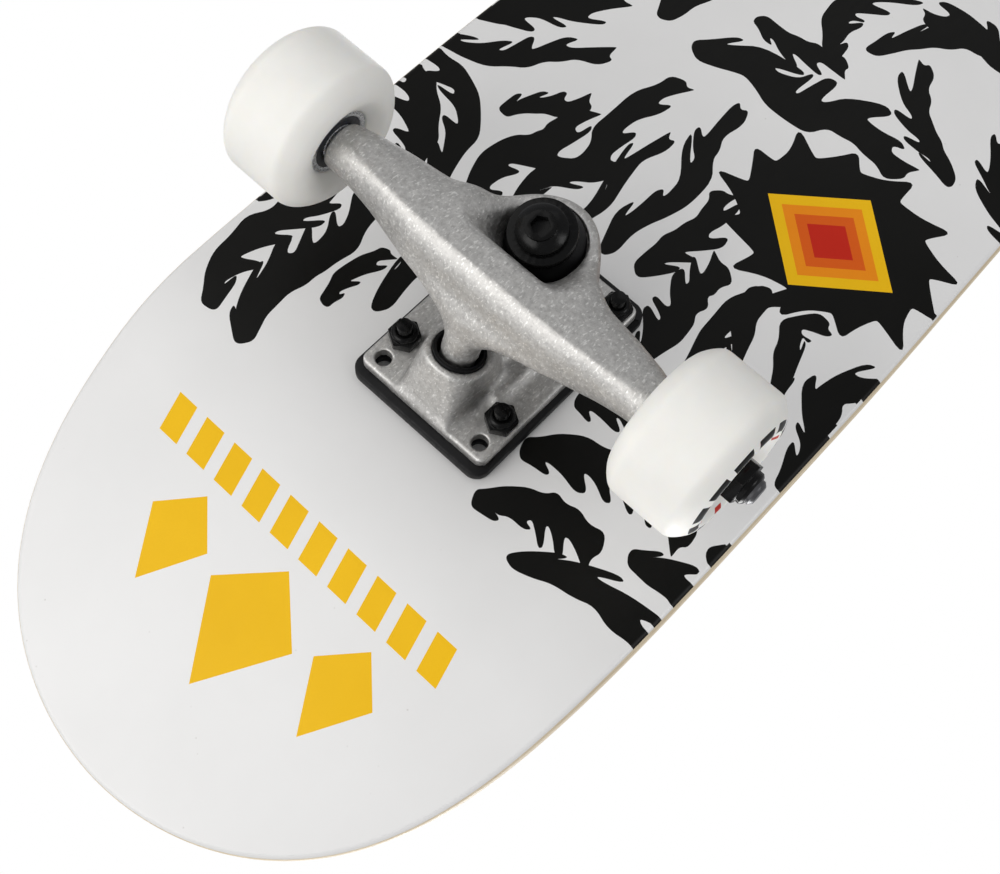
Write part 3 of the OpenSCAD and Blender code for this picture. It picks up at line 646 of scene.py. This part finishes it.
def inset(loop, d):
    """The loop moved inwards by d."""
    along = np.roll(loop, -1, 0) - np.roll(loop, 1, 0)
    along /= np.linalg.norm(along, axis=1)[:, None]
    return loop + d * np.stack([-along[:, 1], along[:, 0]], 1)


def inside(points, loop):
    """True where points are wound round by loop, whatever way it crosses itself."""
    found = np.zeros(len(points), bool)
    low, high = loop.min(0), loop.max(0)
    near = np.nonzero(((points > low) & (points < high)).all(1))[0]
    if not len(near):
        return found
    p, winding = points[near], np.zeros(len(near), int)
    for a, b in zip(loop, np.roll(loop, -1, 0)):
        left = (b[0] - a[0]) * (p[:, 1] - a[1]) - (p[:, 0] - a[0]) * (b[1] - a[1])
        winding += ((a[1] <= p[:, 1]) & (b[1] > p[:, 1]) & (left > 0)).astype(int)
        winding -= ((a[1] > p[:, 1]) & (b[1] <= p[:, 1]) & (left < 0)).astype(int)
    found[near] = winding != 0
    return found


def loop_edges(loops):
    """The edges of closed loops whose points follow on from each other in one list."""
    edges, start = [], 0
    for loop in loops:
        n = len(loop)
        edges += [(start + i, start + (i + 1) % n) for i in range(n)]
        start += n
    return edges


def triangulated(rim, holes, grid, extra=()):
    """(points, triangles) that fill rim outside the holes, with the loops of extra as edges."""
    loops = [rim, *holes, *extra]
    points = np.vstack([*loops, grid])
    made = geometry.delaunay_2d_cdt([Vector(p) for p in points], loop_edges(loops), [], 0, 1e-5)
    points, faces = np.array([tuple(v) for v in made[0]]), np.array([list(f) for f in made[2]])
    middle = points[faces].mean(1)
    keep = inside(middle, rim)
    for hole in holes:
        keep &= ~inside(middle, hole)
    used, faces = np.unique(faces[keep], return_inverse=True)
    return points[used], faces.reshape(-1, 3)


def border(faces):
    """The loops of edges that only one triangle has, each in order."""
    directed = {(a, b) for f in faces for a, b in ((f[0], f[1]), (f[1], f[2]), (f[2], f[0]))}
    after = {a: b for a, b in directed if (b, a) not in directed}
    loops = []
    while after:
        first, at = next(iter(after.items()))
        loop = [first]
        del after[first]
        while at != first:
            loop.append(at)
            at = after.pop(at)
        loops.append(loop)
    return sorted(loops, key=len, reverse=True)


def sheet_grid(rim):
    """Points that let a flat triangulation follow the board's bends."""
    along = np.arange(rim[:, 0].min(), rim[:, 0].max(), GRID_S)
    across = np.arange(-GRID_HALF, GRID_HALF + 1, GRID_Y)
    grid = np.stack(np.meshgrid(along, across, indexing="ij"), -1).reshape(-1, 2)
    return grid[inside(grid, inset(rim, GRID_EDGE))]


def board_holes(r):
    """The eight bolt holes."""
    return [circle(x0 + x, y, r)
            for x0 in (FRONT_X, REAR_X) for x in (-HOLES_X, HOLES_X) for y in (-HOLES_Y, HOLES_Y)]


def on_edges(points, rim):
    """For each point on rim, the number of the rim edge it lies on and its share along that edge."""
    a, b = rim, np.roll(rim, -1, 0)
    numbers, shares = [], []
    for p in points:
        t = np.clip(((p - a) * (b - a)).sum(1) / ((b - a) ** 2).sum(1), 0, 1)
        nearest = int(np.argmin(((a + (b - a) * t[:, None] - p) ** 2).sum(1)))
        numbers.append(nearest)
        shares.append(t[nearest])
    return np.array(numbers), np.array(shares)[:, None]


def ink_at(middle, shapes, materials):
    """The number of the ink printed last over each point, 0 where it is bare."""
    ink = np.zeros(len(middle), int)
    for key, loop in shapes:
        ink[inside(middle, loop)] = materials.index(key)
    return list(ink)


class Sheet:
    """The points, uvs, faces and inks of a board piece between two heights, gathered row by row."""

    def __init__(self, low_h, top_h):
        self.low_h, self.top_h, self.count = low_h, top_h, 0
        self.points, self.uvs, self.faces, self.inks = [], [], [], []

    def row(self, flat, h):
        """Adds points (s, y) at height h and returns their numbers."""
        share = (h - self.low_h) / (self.top_h - self.low_h)
        self.points.append(lift(flat[:, 0], flat[:, 1], h))
        self.uvs.append(np.stack([flat[:, 0] / UV_S, np.full(len(flat), share)], 1))
        self.count += len(flat)
        return list(range(self.count - len(flat), self.count))

    def fill(self, faces, inks):
        self.faces += [tuple(f) for f in faces]
        self.inks += inks

    def wall(self, below, above, inks):
        """Quads between two closed rows of the same length."""
        n = len(below)
        self.fill([(below[i], below[(i + 1) % n], above[(i + 1) % n], above[i]) for i in range(n)], inks)


def exact_normals(mesh, low_n, top_at, edge_ink):
    """Exact normals on both faces, so that no triangle shows in the gloss; top_at is {vertex: normal}."""
    mesh.update()
    corner = np.zeros(len(mesh.loops) * 3, np.float32)
    mesh.corner_normals.foreach_get("vector", corner)
    soft = corner.reshape(-1, 3).astype(float)
    for poly in mesh.polygons:
        if poly.material_index == edge_ink:
            continue
        for c in poly.loop_indices:
            vertex = mesh.loops[c].vertex_index
            if poly.material_index > edge_ink:
                soft[c] = top_at[vertex]
            elif vertex < len(low_n):
                soft[c] = low_n[vertex]
    mesh.normals_split_custom_set(soft.tolist())


def board_piece(name, profile, hole_rows, materials, shapes, body, node):
    """A closed sheet that follows the board, printed underneath.

    profile is (inset, height) from the underside's rim to the top's, and hole_rows is (radius, height)
    up each hole's wall. The last two materials are those of the edge and of the top.
    """
    edge_ink, top_ink = len(materials) - 2, len(materials) - 1
    low_h, top_h = profile[0][1], profile[-1][1]
    sheet = Sheet(low_h, top_h)
    edge = outline()
    rim = inset(edge, profile[0][0])
    # The underside; where each of its triangles lies decides its ink
    holes, prints = board_holes(hole_rows[0][0]), [loop for _, loop in shapes]
    low, faces = triangulated(rim, holes, sheet_grid(rim), prints)
    sheet.row(low, low_h)
    sheet.fill([f[::-1] for f in faces], ink_at(low[faces].mean(1), shapes, materials))
    below, *hole_loops = border(faces)
    # The edge; the print and its lacquer wrap round the lower corner
    flat = low[below]
    number, share = on_edges(flat, rim)
    for d, h in profile[1:]:
        before, loop = flat, inset(edge, d)
        flat = loop[number] * (1 - share) + loop[(number + 1) % len(loop)] * share
        above = sheet.row(flat, h)
        middle = (before + flat + np.roll(before + flat, -1, 0)) / 4
        printed = h <= PRINT_H
        sheet.wall(below, above, ink_at(middle, shapes, materials) if printed else [edge_ink] * len(above))
        below = above
    # The holes' walls
    rings, tops = [flat], [below]
    for under in hole_loops:
        centre, first = low[under].mean(0), low[under]
        for r, h in hole_rows[1:]:
            ring = centre + (first - centre) * r / hole_rows[0][0]
            above = sheet.row(ring, h)
            sheet.wall(under, above, [edge_ink] * len(above))
            under = above
        rings.append(ring)
        tops.append(under)
    # The top, filled between the last row of the edge and the last row of each hole
    grid = sheet_grid(flat)
    flat = np.vstack([*rings, grid])
    index = np.concatenate([*tops, sheet.row(grid, top_h)]).astype(int)
    made = geometry.delaunay_2d_cdt([Vector(p) for p in flat], loop_edges(rings), [], 1, 1e-7)
    top_faces = np.array([[made[3][v][0] for v in f] for f in made[2]])
    middle = flat[top_faces].mean(1)
    keep = np.ones(len(top_faces), bool)
    for ring in rings[1:]:
        keep &= ~inside(middle, ring)
    sheet.fill(index[top_faces[keep]], [top_ink] * int(keep.sum()))
    points, uvs = np.vstack(sheet.points), np.vstack(sheet.uvs)
    obj = new_piece(name, points, sheet.faces, materials, sheet.inks, uv=uvs)
    low_n = sheet_normals(low[:, 0], low[:, 1], low_h, -1)
    top_n = sheet_normals(flat[:, 0], flat[:, 1], top_h, 1)
    exact_normals(obj.data, low_n, dict(zip(index.tolist(), top_n)), edge_ink)
    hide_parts(node)
    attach(obj, body)
    return obj


turns = np.radians([0, 15, 30, 45, 60, 90])
round_edge = [(ROUND_R * (1 - math.sin(a)), ROUND_R * (1 - math.cos(a))) for a in turns]
deck_profile = round_edge + [(d, DECK_T - h) for d, h in round_edge[::-1]]
# Straight bolt holes that widen to the heads' countersink
deck_holes = [(2.7, 0), (2.7, 8.9), (4.8, DECK_T)]
inks = ["lacquer", "ink_black", "ink_yellow", "ink_amber", "ink_orange", "ink_red", "ply", "ply"]
shapes = [(ink, loop + (FRONT_X, 0)) for ink, loop in print_shapes()]
board_piece("deck_board", deck_profile, deck_holes, inks, shapes, "board", "deck")

GRIP_TOP, GRIP_HOLE_R = DECK_T + GRIP_T, 5.2
grip_profile = [(EDGE_R, DECK_T), (EDGE_R - 0.2, DECK_T + GRIP_T / 2), (EDGE_R, GRIP_TOP)]
grip_holes = [(GRIP_HOLE_R, DECK_T), (GRIP_HOLE_R, GRIP_TOP)]
board_piece("grip", grip_profile, grip_holes, ["grit", "grit", "grit"], [], "board", "grip_tape")

# ---- Castings, each from a distance field in its truck's frame, in mm ----
HULL_SIDES = 24
# The hanger's arm at places out along the axle: its edges, its crest and its middle as x or z, half its
# depth, and the power of its curve, from a ridge near 1.4 to a round bar at 2
ARM_AT = [0, 18, 26, 34, 44, 54, HANGER_W / 2]
ARM_TAIL = [-6.4, -6.2, -5.4, -3.8, -2.0, 0.4, AXLE_X - ARM_R]
ARM_NOSE = [21.2, 21.2, 21.0, 19.8, 18.7, 18.1, AXLE_X + ARM_R]
ARM_CREST = [15.3, 15.3, 15.3, 15.0, 14.2, 12.6, AXLE_X]
ARM_DEPTH = [9.9, 10.0, 10.2, 9.8, 9.0, 8.1, ARM_R]
ARM_LEVEL = [-51.3, -51.4, -51.6, -52.2, -53.1, -53.9, -AXLE_DROP]
ARM_POWER = [1.45, 1.45, 1.48, 1.55, 1.68, 1.86, 2.0]
STEM_R, BALL_R, AXLE_BORE_R, WEB_HOLE_R = 5.4, 5.6, 3.97, 7.5
BOLT_HOLE_R, CUP_SEAT_R, CUP_SEAT_DEEP, KINGPIN_HOLE_R, NUT_ROOM_R = 2.7, 8.4, 7.5, 4.9, 8.8


def smooth_min(a, b, k):
    """The union of two fields, with a fillet about k wide."""
    h = np.maximum(k - np.abs(a - b), 0) / k
    return np.minimum(a, b) - h * h * k / 4


def smooth_max(a, b, k):
    """What two fields share, with a fillet about k wide."""
    return -smooth_min(-a, -b, k)


def along_kingpin(p):
    """(towards the nose, across, along the kingpin to the deck) from the top of its head."""
    c, s = math.cos(KINGPIN_LEAN), math.sin(KINGPIN_LEAN)
    x, y, z = p[0] - HEAD_TOP[0], p[1], p[2] - HEAD_TOP[2]
    return x * c + z * s, y, z * c - x * s


def along_pivot(p):
    """(towards the nose, across, away from the deck) from the pivot ball's centre."""
    c, s = math.cos(PIVOT_LEAN), math.sin(PIVOT_LEAN)
    x, y, z = p[0] - PIVOT[0], p[1], p[2] - PIVOT[2]
    return x * c - z * s, y, -z * c - x * s


def drum(u, v, w, r, low, high, edge):
    """A cylinder with rounded edges."""
    side = np.hypot(u, v) - r + edge
    cap = np.maximum(low - w, w - high) + edge
    return np.minimum(np.maximum(side, cap), 0) + np.hypot(np.maximum(side, 0), np.maximum(cap, 0)) - edge


def slab(x, y, z, size, edge):
    """A box of half sizes with rounded edges."""
    q = [np.abs(c) - s + edge for c, s in zip((x, y, z), size)]
    out = np.sqrt(sum(np.maximum(c, 0) ** 2 for c in q))
    return out + np.minimum(np.maximum(np.maximum(q[0], q[1]), q[2]), 0) - edge


def hull(p, points, edge):
    """The convex hull of points, its edges rounded by about edge."""
    bm = bmesh.new()
    for q in points:
        bm.verts.new(q)
    bmesh.ops.convex_hull(bm, input=bm.verts)
    bm.normal_update()
    centre = np.mean(points, axis=0)
    planes = set()
    for face in bm.faces:
        n = np.array(face.normal)
        d = n @ np.array(face.verts[0].co)
        if n @ centre > d:
            n, d = -n, -d
        planes.add(tuple(np.round([*n, d], 4)))
    bm.free()
    fields = [a * p[0] + b * p[1] + c * p[2] - d for a, b, c, d in planes]
    most = np.maximum.reduce(fields)
    width = edge * 0.35
    total = sum(np.exp(np.minimum((f - most) / width, 0)) for f in fields)
    return most + width * np.log(total)


def on_kingpin(r, k):
    """A circle of radius r round the kingpin's line, k from the top of its head."""
    c, s = math.cos(KINGPIN_LEAN), math.sin(KINGPIN_LEAN)
    u, v = circle(0, 0, r, HULL_SIDES).T
    return np.stack([HEAD_TOP[0] + u * c - k * s, v, HEAD_TOP[2] + u * s + k * c], 1)


def on_pivot(r, k):
    """A circle of radius r round the pivot's line, k from the ball's centre away from the deck."""
    c, s = math.cos(PIVOT_LEAN), math.sin(PIVOT_LEAN)
    u, v = circle(0, 0, r, HULL_SIDES).T
    return np.stack([PIVOT[0] + u * c - k * s, v, PIVOT[2] - u * s - k * c], 1)


def arm_field(x, y, z):
    """Arms and yoke: a section that changes along the axle, its crest towards the nose."""
    tail, nose, crest, deep, level, power = [np.interp(np.abs(y), ARM_AT, row) for row in (
        ARM_TAIL, ARM_NOSE, ARM_CREST, ARM_DEPTH, ARM_LEVEL, ARM_POWER)]
    half = np.where(x > crest, nose - crest, crest - tail)
    u, v = np.abs((x - crest) / half) + 1e-6, np.abs((z - level) / deep) + 1e-6
    rise = (u**power + v**2) ** (1 / (0.5 * power + 1))
    slope = np.hypot(u / half, v / deep) / np.maximum(np.hypot(u, v), 1e-3)
    return (rise - 1) / np.maximum(slope, 1e-3)


def neck_field(p):
    """A funnel from the yoke down to the stem, and the ball that turns in the pivot cup."""
    a, b, c = along_pivot(p)
    reach = np.clip(c - 9, 0, 17)
    wide, thick = 5.5 + 0.15 * reach**1.75, 5.5 + 0.07 * reach
    neck = (np.hypot(a / thick, b / wide) - 1) * np.minimum(thick, wide) * 0.8
    # Only the stem and the ball go into the cup
    neck = smooth_max(smooth_max(neck, c - 25, 6), 5 - c, 1)
    stem = smooth_min(drum(a, b, c, STEM_R, -1, 14, 0.8), np.sqrt(a * a + b * b + c * c) - BALL_R, 1)
    return neck, stem


def hanger_field(p):
    x, y, z = p
    neck, stem = neck_field(p)
    body = smooth_min(smooth_min(arm_field(x, y, z), neck, 8), stem, 2)
    # Ring round the kingpin, its flanks running into the arms
    u, v, k = along_kingpin(p)
    flanks = [(x0, s * y0, z0) for s in (-1, 1) for x0, y0 in ((-4.5, 27), (12, 16)) for z0 in (-56, -45)]
    ring = [on_kingpin(RING_R + 0.4, RING_TOP + 1), on_kingpin(RING_R + 0.4, RING_BOTTOM - 0.4)]
    body = smooth_min(body, hull(p, np.vstack([*ring, flanks]), 2.6), 6)
    # The road side of the ring sweeps up into the yoke
    sweep = np.clip(u + 7, 0, 18)
    away = (k - RING_TOP + 3 + sweep**2 / 13) / np.sqrt(1 + (2 * sweep / 13) ** 2)
    away = smooth_max(away, np.abs(v) - 21, 6)
    body = smooth_max(body, -smooth_max(away, u - 10, 3), 4)
    # Room for the road-side bushing
    flared = 13.5 + 0.5 * np.clip(10 - k, 0, 12)
    room = smooth_max(smooth_max(np.hypot(u - 1.4, v) - flared, u - 12.6, 4), k - 13.5, 4)
    seat = np.maximum(np.hypot(u, v) - BUSHING_R - 0.5, np.maximum(8 - k, k - WEB_TOP))
    body = smooth_max(body, -room, 3.4)
    body = smooth_max(body, -seat, 0.8)
    under = np.maximum(np.hypot(u, v) - BUSHING_R - 0.5, WEB_TOP + WEB_T - k)
    below = np.maximum(np.hypot(u, v) - RING_R - 1, RING_BOTTOM - k)
    body = smooth_max(body, -np.minimum(under, below), 0.8)
    body = np.maximum(body, -(np.hypot(u, v) - WEB_HOLE_R))
    # Wheel faces and the axle's bore
    body = smooth_max(body, np.abs(y) - HANGER_W / 2, 0.9)
    return np.maximum(body, AXLE_BORE_R - np.hypot(x - AXLE_X, z + AXLE_DROP))


def baseplate_field(p):
    x, y, z = p
    top = -RISER_T - PLATE_T
    mid = (PLATE_X0 + PLATE_X1) / 2
    half_x, half_y = (PLATE_X1 - PLATE_X0) / 2, PLATE_W / 2
    plate = slab(x - mid, y, z - top - 5, (half_x, half_y, 5), 1.5)
    corner = slab(x - mid, y, z, (half_x, half_y, 40), 3.5)
    plate = smooth_max(plate, corner, 0.6)
    # A mound for the pivot and a boss for the kingpin, joined by a rib and a low shelf
    foot = [(x0, s * 11, top + h)
            for x0, h in ((14, 0), (PLATE_X1 - 0.2, 0), (PLATE_X1 - 0.2, 3)) for s in (-1, 1)]
    mound = hull(p, np.vstack([on_pivot(11.6, 4.5), on_pivot(11.8, 2.5), foot]), 1.6)
    foot = np.vstack([np.insert(circle(-20.5, 0, 12.3, HULL_SIDES), 2, top + 0.5, 1),
                      [(x0, s * 11, top + 0.5) for x0 in (-12, -2) for s in (-1, 1)]])
    boss = hull(p, np.vstack([on_kingpin(13.4, SEAT_K), on_kingpin(13.6, SEAT_K + 3), foot]), 1.2)
    rib = slab(x - 2, y, z - top - 1, (16, 6.8, 9), 2)
    shelf = slab(x + 1, y, z - top - 1, (24, 15.5, 2.6), 1.2)
    body = smooth_min(smooth_min(mound, boss, 3), rib, 3)
    body = smooth_min(body, shelf, 4)
    body = smooth_min(body, plate, 4)
    # Nothing stands past the plate's own edges
    body = smooth_max(body, corner, 0.8)
    a, b, c = along_pivot(p)
    body = smooth_max(body, -np.maximum(np.hypot(a, b) - CUP_SEAT_R, -CUP_SEAT_DEEP - c), 0.6)
    u, v, k = along_kingpin(p)
    body = np.maximum(body, KINGPIN_HOLE_R - np.hypot(u, v))
    body = np.maximum(body, -np.maximum(np.hypot(u, v) - NUT_ROOM_R, NUT_K - k))
    for hole_x in (-HOLES_X, HOLES_X, SPARE_X):
        for hole_y in (-HOLES_Y, HOLES_Y):
            body = smooth_max(body, BOLT_HOLE_R - np.hypot(x - hole_x, y - hole_y), 0.7)
    return np.maximum(body, z + RISER_T)


def surface(field, low, high, step):
    """Points, quads and normals of field = 0, by surface nets on a grid, then drawn onto the surface."""
    coarse = step * 4
    counts = [int(math.ceil((b - a) / coarse)) for a, b in zip(low, high)]
    rough = [a + (np.arange(n) + 0.5) * coarse for a, n in zip(low, counts)]
    values = field(np.meshgrid(*rough, indexing="ij"))
    for i in range(3):
        values = np.repeat(values, 4, axis=i)
    axes = [a + np.arange(n * 4) * step for a, n in zip(low, counts)]
    p = np.meshgrid(*axes, indexing="ij")
    # Only the cells near the surface are worked out finely
    close = np.abs(values) < coarse * 2.5
    values[close] = field([q[close] for q in p])
    shape = np.array(values.shape) - 1
    total, count = np.zeros((*shape, 3)), np.zeros(shape)
    crossings = []
    for axis in range(3):
        first = [slice(None)] * 3
        second = [slice(None)] * 3
        first[axis], second[axis] = slice(0, -1), slice(1, None)
        a, b = values[tuple(first)], values[tuple(second)]
        cross = (a < 0) != (b < 0)
        t = np.where(cross, a / np.where(a == b, 1, a - b), 0)
        crossings.append((cross, a < 0))
        base = [q[tuple(first)] for q in p]
        others = [i for i in range(3) if i != axis]
        for du in (0, 1):
            for dv in (0, 1):
                pick = [slice(None)] * 3
                pick[others[0]] = slice(du, du + shape[others[0]])
                pick[others[1]] = slice(dv, dv + shape[others[1]])
                pick = tuple(pick)
                hit = cross[pick]
                count += hit
                for i in range(3):
                    total[..., i] += hit * (base[i][pick] + (t[pick] * step if i == axis else 0))
    index = -np.ones(shape, int)
    full = count > 0
    index[full] = np.arange(full.sum())
    points = total[full] / count[full][:, None]
    quads = []
    for axis, (cross, under) in enumerate(crossings):
        u, v = [(axis + 1) % 3, (axis + 2) % 3]
        where = np.argwhere(cross)
        in_u = (where[:, u] > 0) & (where[:, u] < shape[u])
        where = where[in_u & (where[:, v] > 0) & (where[:, v] < shape[v])]
        step_u, step_v = np.eye(3, dtype=int)[u], np.eye(3, dtype=int)[v]
        four = [where - step_u - step_v, where - step_v, where, where - step_u]
        quad = np.stack([index[tuple(c.T)] for c in four], 1)
        flip = ~under[tuple(where.T)]
        quad[flip] = quad[flip][:, ::-1]
        quads.append(quad)
    quads = np.vstack(quads)

    def slope(q):
        e = 0.04
        g = []
        for i in range(3):
            d = np.zeros(3)
            d[i] = e
            g.append((field(list((q + d).T)) - field(list((q - d).T))) / (2 * e))
        return np.stack(g, 1)
    for _ in range(3):
        g = slope(points)
        f = field(list(points.T))
        move = -(f / np.maximum((g * g).sum(1), 0.05))[:, None] * g
        size = np.linalg.norm(move, axis=1)[:, None]
        points = points + move * np.minimum(1, 0.3 * step / np.maximum(size, 1e-9))
    g = slope(points)
    return points, quads, g / np.maximum(np.linalg.norm(g, axis=1), 1e-9)[:, None]


# Each casting's field, the two corners of its grid, the grid's step, and the body it rides on
CASTINGS = {
    "hanger": (hanger_field, (-34, -64, -66), (36, 64, -12), 0.75, "{}_hanger_body"),
    "baseplate": (baseplate_field, (-37.3, -30.2, -36.2), (46, 30.2, -2), 0.65, "board"),
}
for part, (field, low, high, step, body) in CASTINGS.items():
    points, quads, normals = surface(field, low, high, step)
    for end in ENDS:
        piece = new_piece(f"{end}_cast_{part}", at_truck(end, points), quads, ["cast"],
                          normals=turned(end, normals))
        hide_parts(f"{end}_{part}")
        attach(piece, body.format(end))

# ---- Turned pieces ----


def lathe(rows, count, at, axis):
    """Points and quads of a closed profile of (radius, height) turned round axis."""
    axis = np.array(axis, float) / np.linalg.norm(axis)
    side = np.cross(axis, (0, 0, 1) if abs(axis[2]) < 0.9 else (1, 0, 0))
    side /= np.linalg.norm(side)
    other = np.cross(axis, side)
    a = np.arange(count) * 2 * math.pi / count
    rows = np.array(rows, float)
    spokes = np.cos(a)[:, None] * side + np.sin(a)[:, None] * other
    points = at + rows[:, 0][:, None, None] * spokes + (rows[:, 1][:, None] * axis)[:, None, :]
    starts = [(i * count, ((i + 1) % len(rows)) * count) for i in range(len(rows))]
    quads = [(here + j, there + j, there + (j + 1) % count, here + (j + 1) % count)
             for here, there in starts for j in range(count)]
    return points.reshape(-1, 3), quads


def eased(profile, cut, steps=3):
    """A closed profile with each corner rounded over about cut."""
    loop = np.array(profile, float)
    out = []
    for a, b, c in zip(np.roll(loop, 1, 0), loop, np.roll(loop, -1, 0)):
        back, on = a - b, c - b
        back *= min(0.4, cut / np.linalg.norm(back))
        on *= min(0.4, cut / np.linalg.norm(on))
        for t in np.linspace(0, 1, steps + 1):
            out.append((1 - t) ** 2 * (b + back) + 2 * t * (1 - t) * b + t * t * (b + on))
    return np.array(out)


# Half the wheel's section as (radius, out from its middle)
WHEEL_SIDE = [(11, 12), (11.6, 12.7), (13.4, 13.9), (15.2, 15.0), (16.6, 15.5), (18.4, 15.4), (20.6, 14.5),
              (22.7, 12.9), (24.2, 11.3), (24.8, 10.3), (WHEEL_R, 9.3)]
WHEEL_PROFILE = [(9, 5), (11, 5), *WHEEL_SIDE, *[(r, -z) for r, z in WHEEL_SIDE[::-1]], (11, -5), (9, -5)]
WHEEL_SPOKES, OUTER_Z = 180, 9
# The rings of printed dashes: the ink's number, the ring's radii, and a dash's spokes, out of so many
DASH_RINGS = ((1, (17.2, 20.4), (0, 11), 15), (2, (14.2, 16.2), (3, 9), 30))


def wheel_rows():
    """The wheel's closed section, with a row at each edge of the printed rings on its outer face."""
    rows = eased(WHEEL_PROFILE, 0.9)
    edges = sorted(r for _, radii, _, _ in DASH_RINGS for r in radii)
    dense = [rows[0]]
    for a, b in zip(rows, np.roll(rows, -1, 0)):
        low, high = sorted((a[0], b[0]))
        outer = a[1] > OUTER_Z and b[1] > OUTER_Z
        cuts = [r for r in edges if outer and low < r < high]
        for r in cuts if a[0] < b[0] else cuts[::-1]:
            dense.append(a + (b - a) * (r - a[0]) / (b[0] - a[0]))
        dense.append(b)
    return np.array(dense[:-1])


def wheel_ink(rows):
    """The number of the ink on each quad of the lathe, 0 where it is bare."""
    ink = np.zeros((len(rows), WHEEL_SPOKES), int)
    spoke = np.arange(WHEEL_SPOKES)
    for line, (r, z) in zip(ink, (rows + np.roll(rows, -1, 0)) / 2):
        for number, (inner, outer), (first, last), every in DASH_RINGS:
            if z >= OUTER_Z and inner < r < outer:
                line[(spoke % every >= first) & (spoke % every < last)] = number
    return ink.ravel()


def wheel_piece(end, side):
    turn = 1 if side == "left" else -1
    at = at_truck(end, [(AXLE_X, 0, -AXLE_DROP)])[0] + (0, turn * WHEEL_Y, 0)
    rows = wheel_rows()
    points, quads = lathe(rows, WHEEL_SPOKES, at, (0, turn, 0))
    inks = ["urethane_white", "ink_black", "ink_red"]
    obj = new_piece(f"{end}_{side}_tyre", points, quads, inks, wheel_ink(rows))
    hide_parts(f"{end}_{side}_wheel")
    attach(obj, f"{end}_{side}_wheel_body")


def outward(obj):
    """Turns every face outwards."""
    bm = bmesh.new()
    bm.from_mesh(obj.data)
    bmesh.ops.recalc_face_normals(bm, faces=bm.faces)
    bm.to_mesh(obj.data)
    bm.free()
    return obj


def kingpin_at(end, k):
    """The point on a kingpin's line k from the top of its head."""
    x, z = HEAD_TOP[0] - k * math.sin(KINGPIN_LEAN), HEAD_TOP[2] + k * math.cos(KINGPIN_LEAN)
    return at_truck(end, [(x, 0, z)])[0]


def bushing_piece(end, which):
    """A urethane barrel between the board and the hanger, turned round the kingpin."""
    if which == "road":
        start, stop = HEAD_H + WASHER_T, WEB_TOP
    else:
        start, stop = SEAT_K - WASHER_T, WEB_TOP + WEB_T
    h = abs(stop - start)
    neck, bore = WASHER_R - 1.2, 5.0
    cup = CUP_H - WASHER_T + 0.3
    shoulder = (neck + 0.35 * (BUSHING_R - neck), cup + 0.2 * (h - cup))
    profile = [(bore, 0), (neck, 0), (neck, cup), shoulder, (BUSHING_R, h * 0.62), (BUSHING_R, h - 1.5),
               (BUSHING_R - 1, h), (bore, h)]
    a, b = kingpin_at(end, start), kingpin_at(end, stop)
    rows = eased(profile, 0.8)
    points, quads = lathe(rows, 96, a, b - a)
    obj = outward(new_piece(f"{end}_{which}_barrel", points, quads, ["urethane_black"]))
    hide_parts(f"{end}_{which}_bushing")
    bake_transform(obj)


for end in ENDS:
    for side in SIDES:
        wheel_piece(end, side)
    for which in ("road", "board"):
        bushing_piece(end, which)

# ---- CAD nodes that keep their own shape ----
BEVEL_ANGLE = 32


def dress(node, material, edge):
    """Gives a CAD node its material, soft shading and small rounded edges."""
    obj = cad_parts[node]
    obj.data.materials.clear()
    obj.data.materials.append(M[material])
    obj.data.polygons.foreach_set("use_smooth", np.ones(len(obj.data.polygons), bool))
    weld = obj.modifiers.new("weld", "WELD")
    weld.merge_threshold = 1e-6
    if edge:
        bevel = obj.modifiers.new("bevel", "BEVEL")
        bevel.width, bevel.segments, bevel.limit_method = edge * MM, 2, "ANGLE"
        bevel.angle_limit = math.radians(BEVEL_ANGLE)
        bevel.harden_normals = bevel.use_clamp_overlap = True


# Each node's material, its slot, and the width of its rounded edges in mm
HARDWARE = {
    "riser_pad": ("riser", "riser", 0.7),
    "pivot_cup": ("urethane_black", "urethane_black", 0.3),
    "kingpin": ("black_steel", "black_steel", 0.25),
    "kingpin_nut": ("black_steel", "black_steel", 0.25),
    "board_washer": ("black_steel", "black_steel", 0.25),
    "road_washer": ("black_steel", "black_steel", 0.25),
    "axle": ("axle_steel", "axle_steel", 0.2),
    "axle_nuts": ("black_steel", "black_steel", 0.25),
    "speed_washers": ("bright_steel", "bright_steel", 0.12),
    "bearing_spacers": ("bright_steel", "bright_steel", 0.2),
    "mounting_bolts": ("black_steel", "black_steel", 0.12),
    "mounting_nuts": ("black_steel", "black_steel", 0.22),
}
WHEEL_SET = {
    "outer_races": ("bright_steel", "bright_steel", 0.25),
    "inner_races": ("bright_steel", "bright_steel", 0.2),
    "bearing_balls": ("bright_steel", "bright_steel", 0),
    "bearing_shields": ("shield", "shield_black", 0.1),
}
for end in ENDS:
    for part, (material, slot, edge) in HARDWARE.items():
        dress(f"{end}_{part}", material, edge)
    for side in SIDES:
        for part, (material, slot, edge) in WHEEL_SET.items():
            dress(f"{end}_{side}_{part}", material, edge)
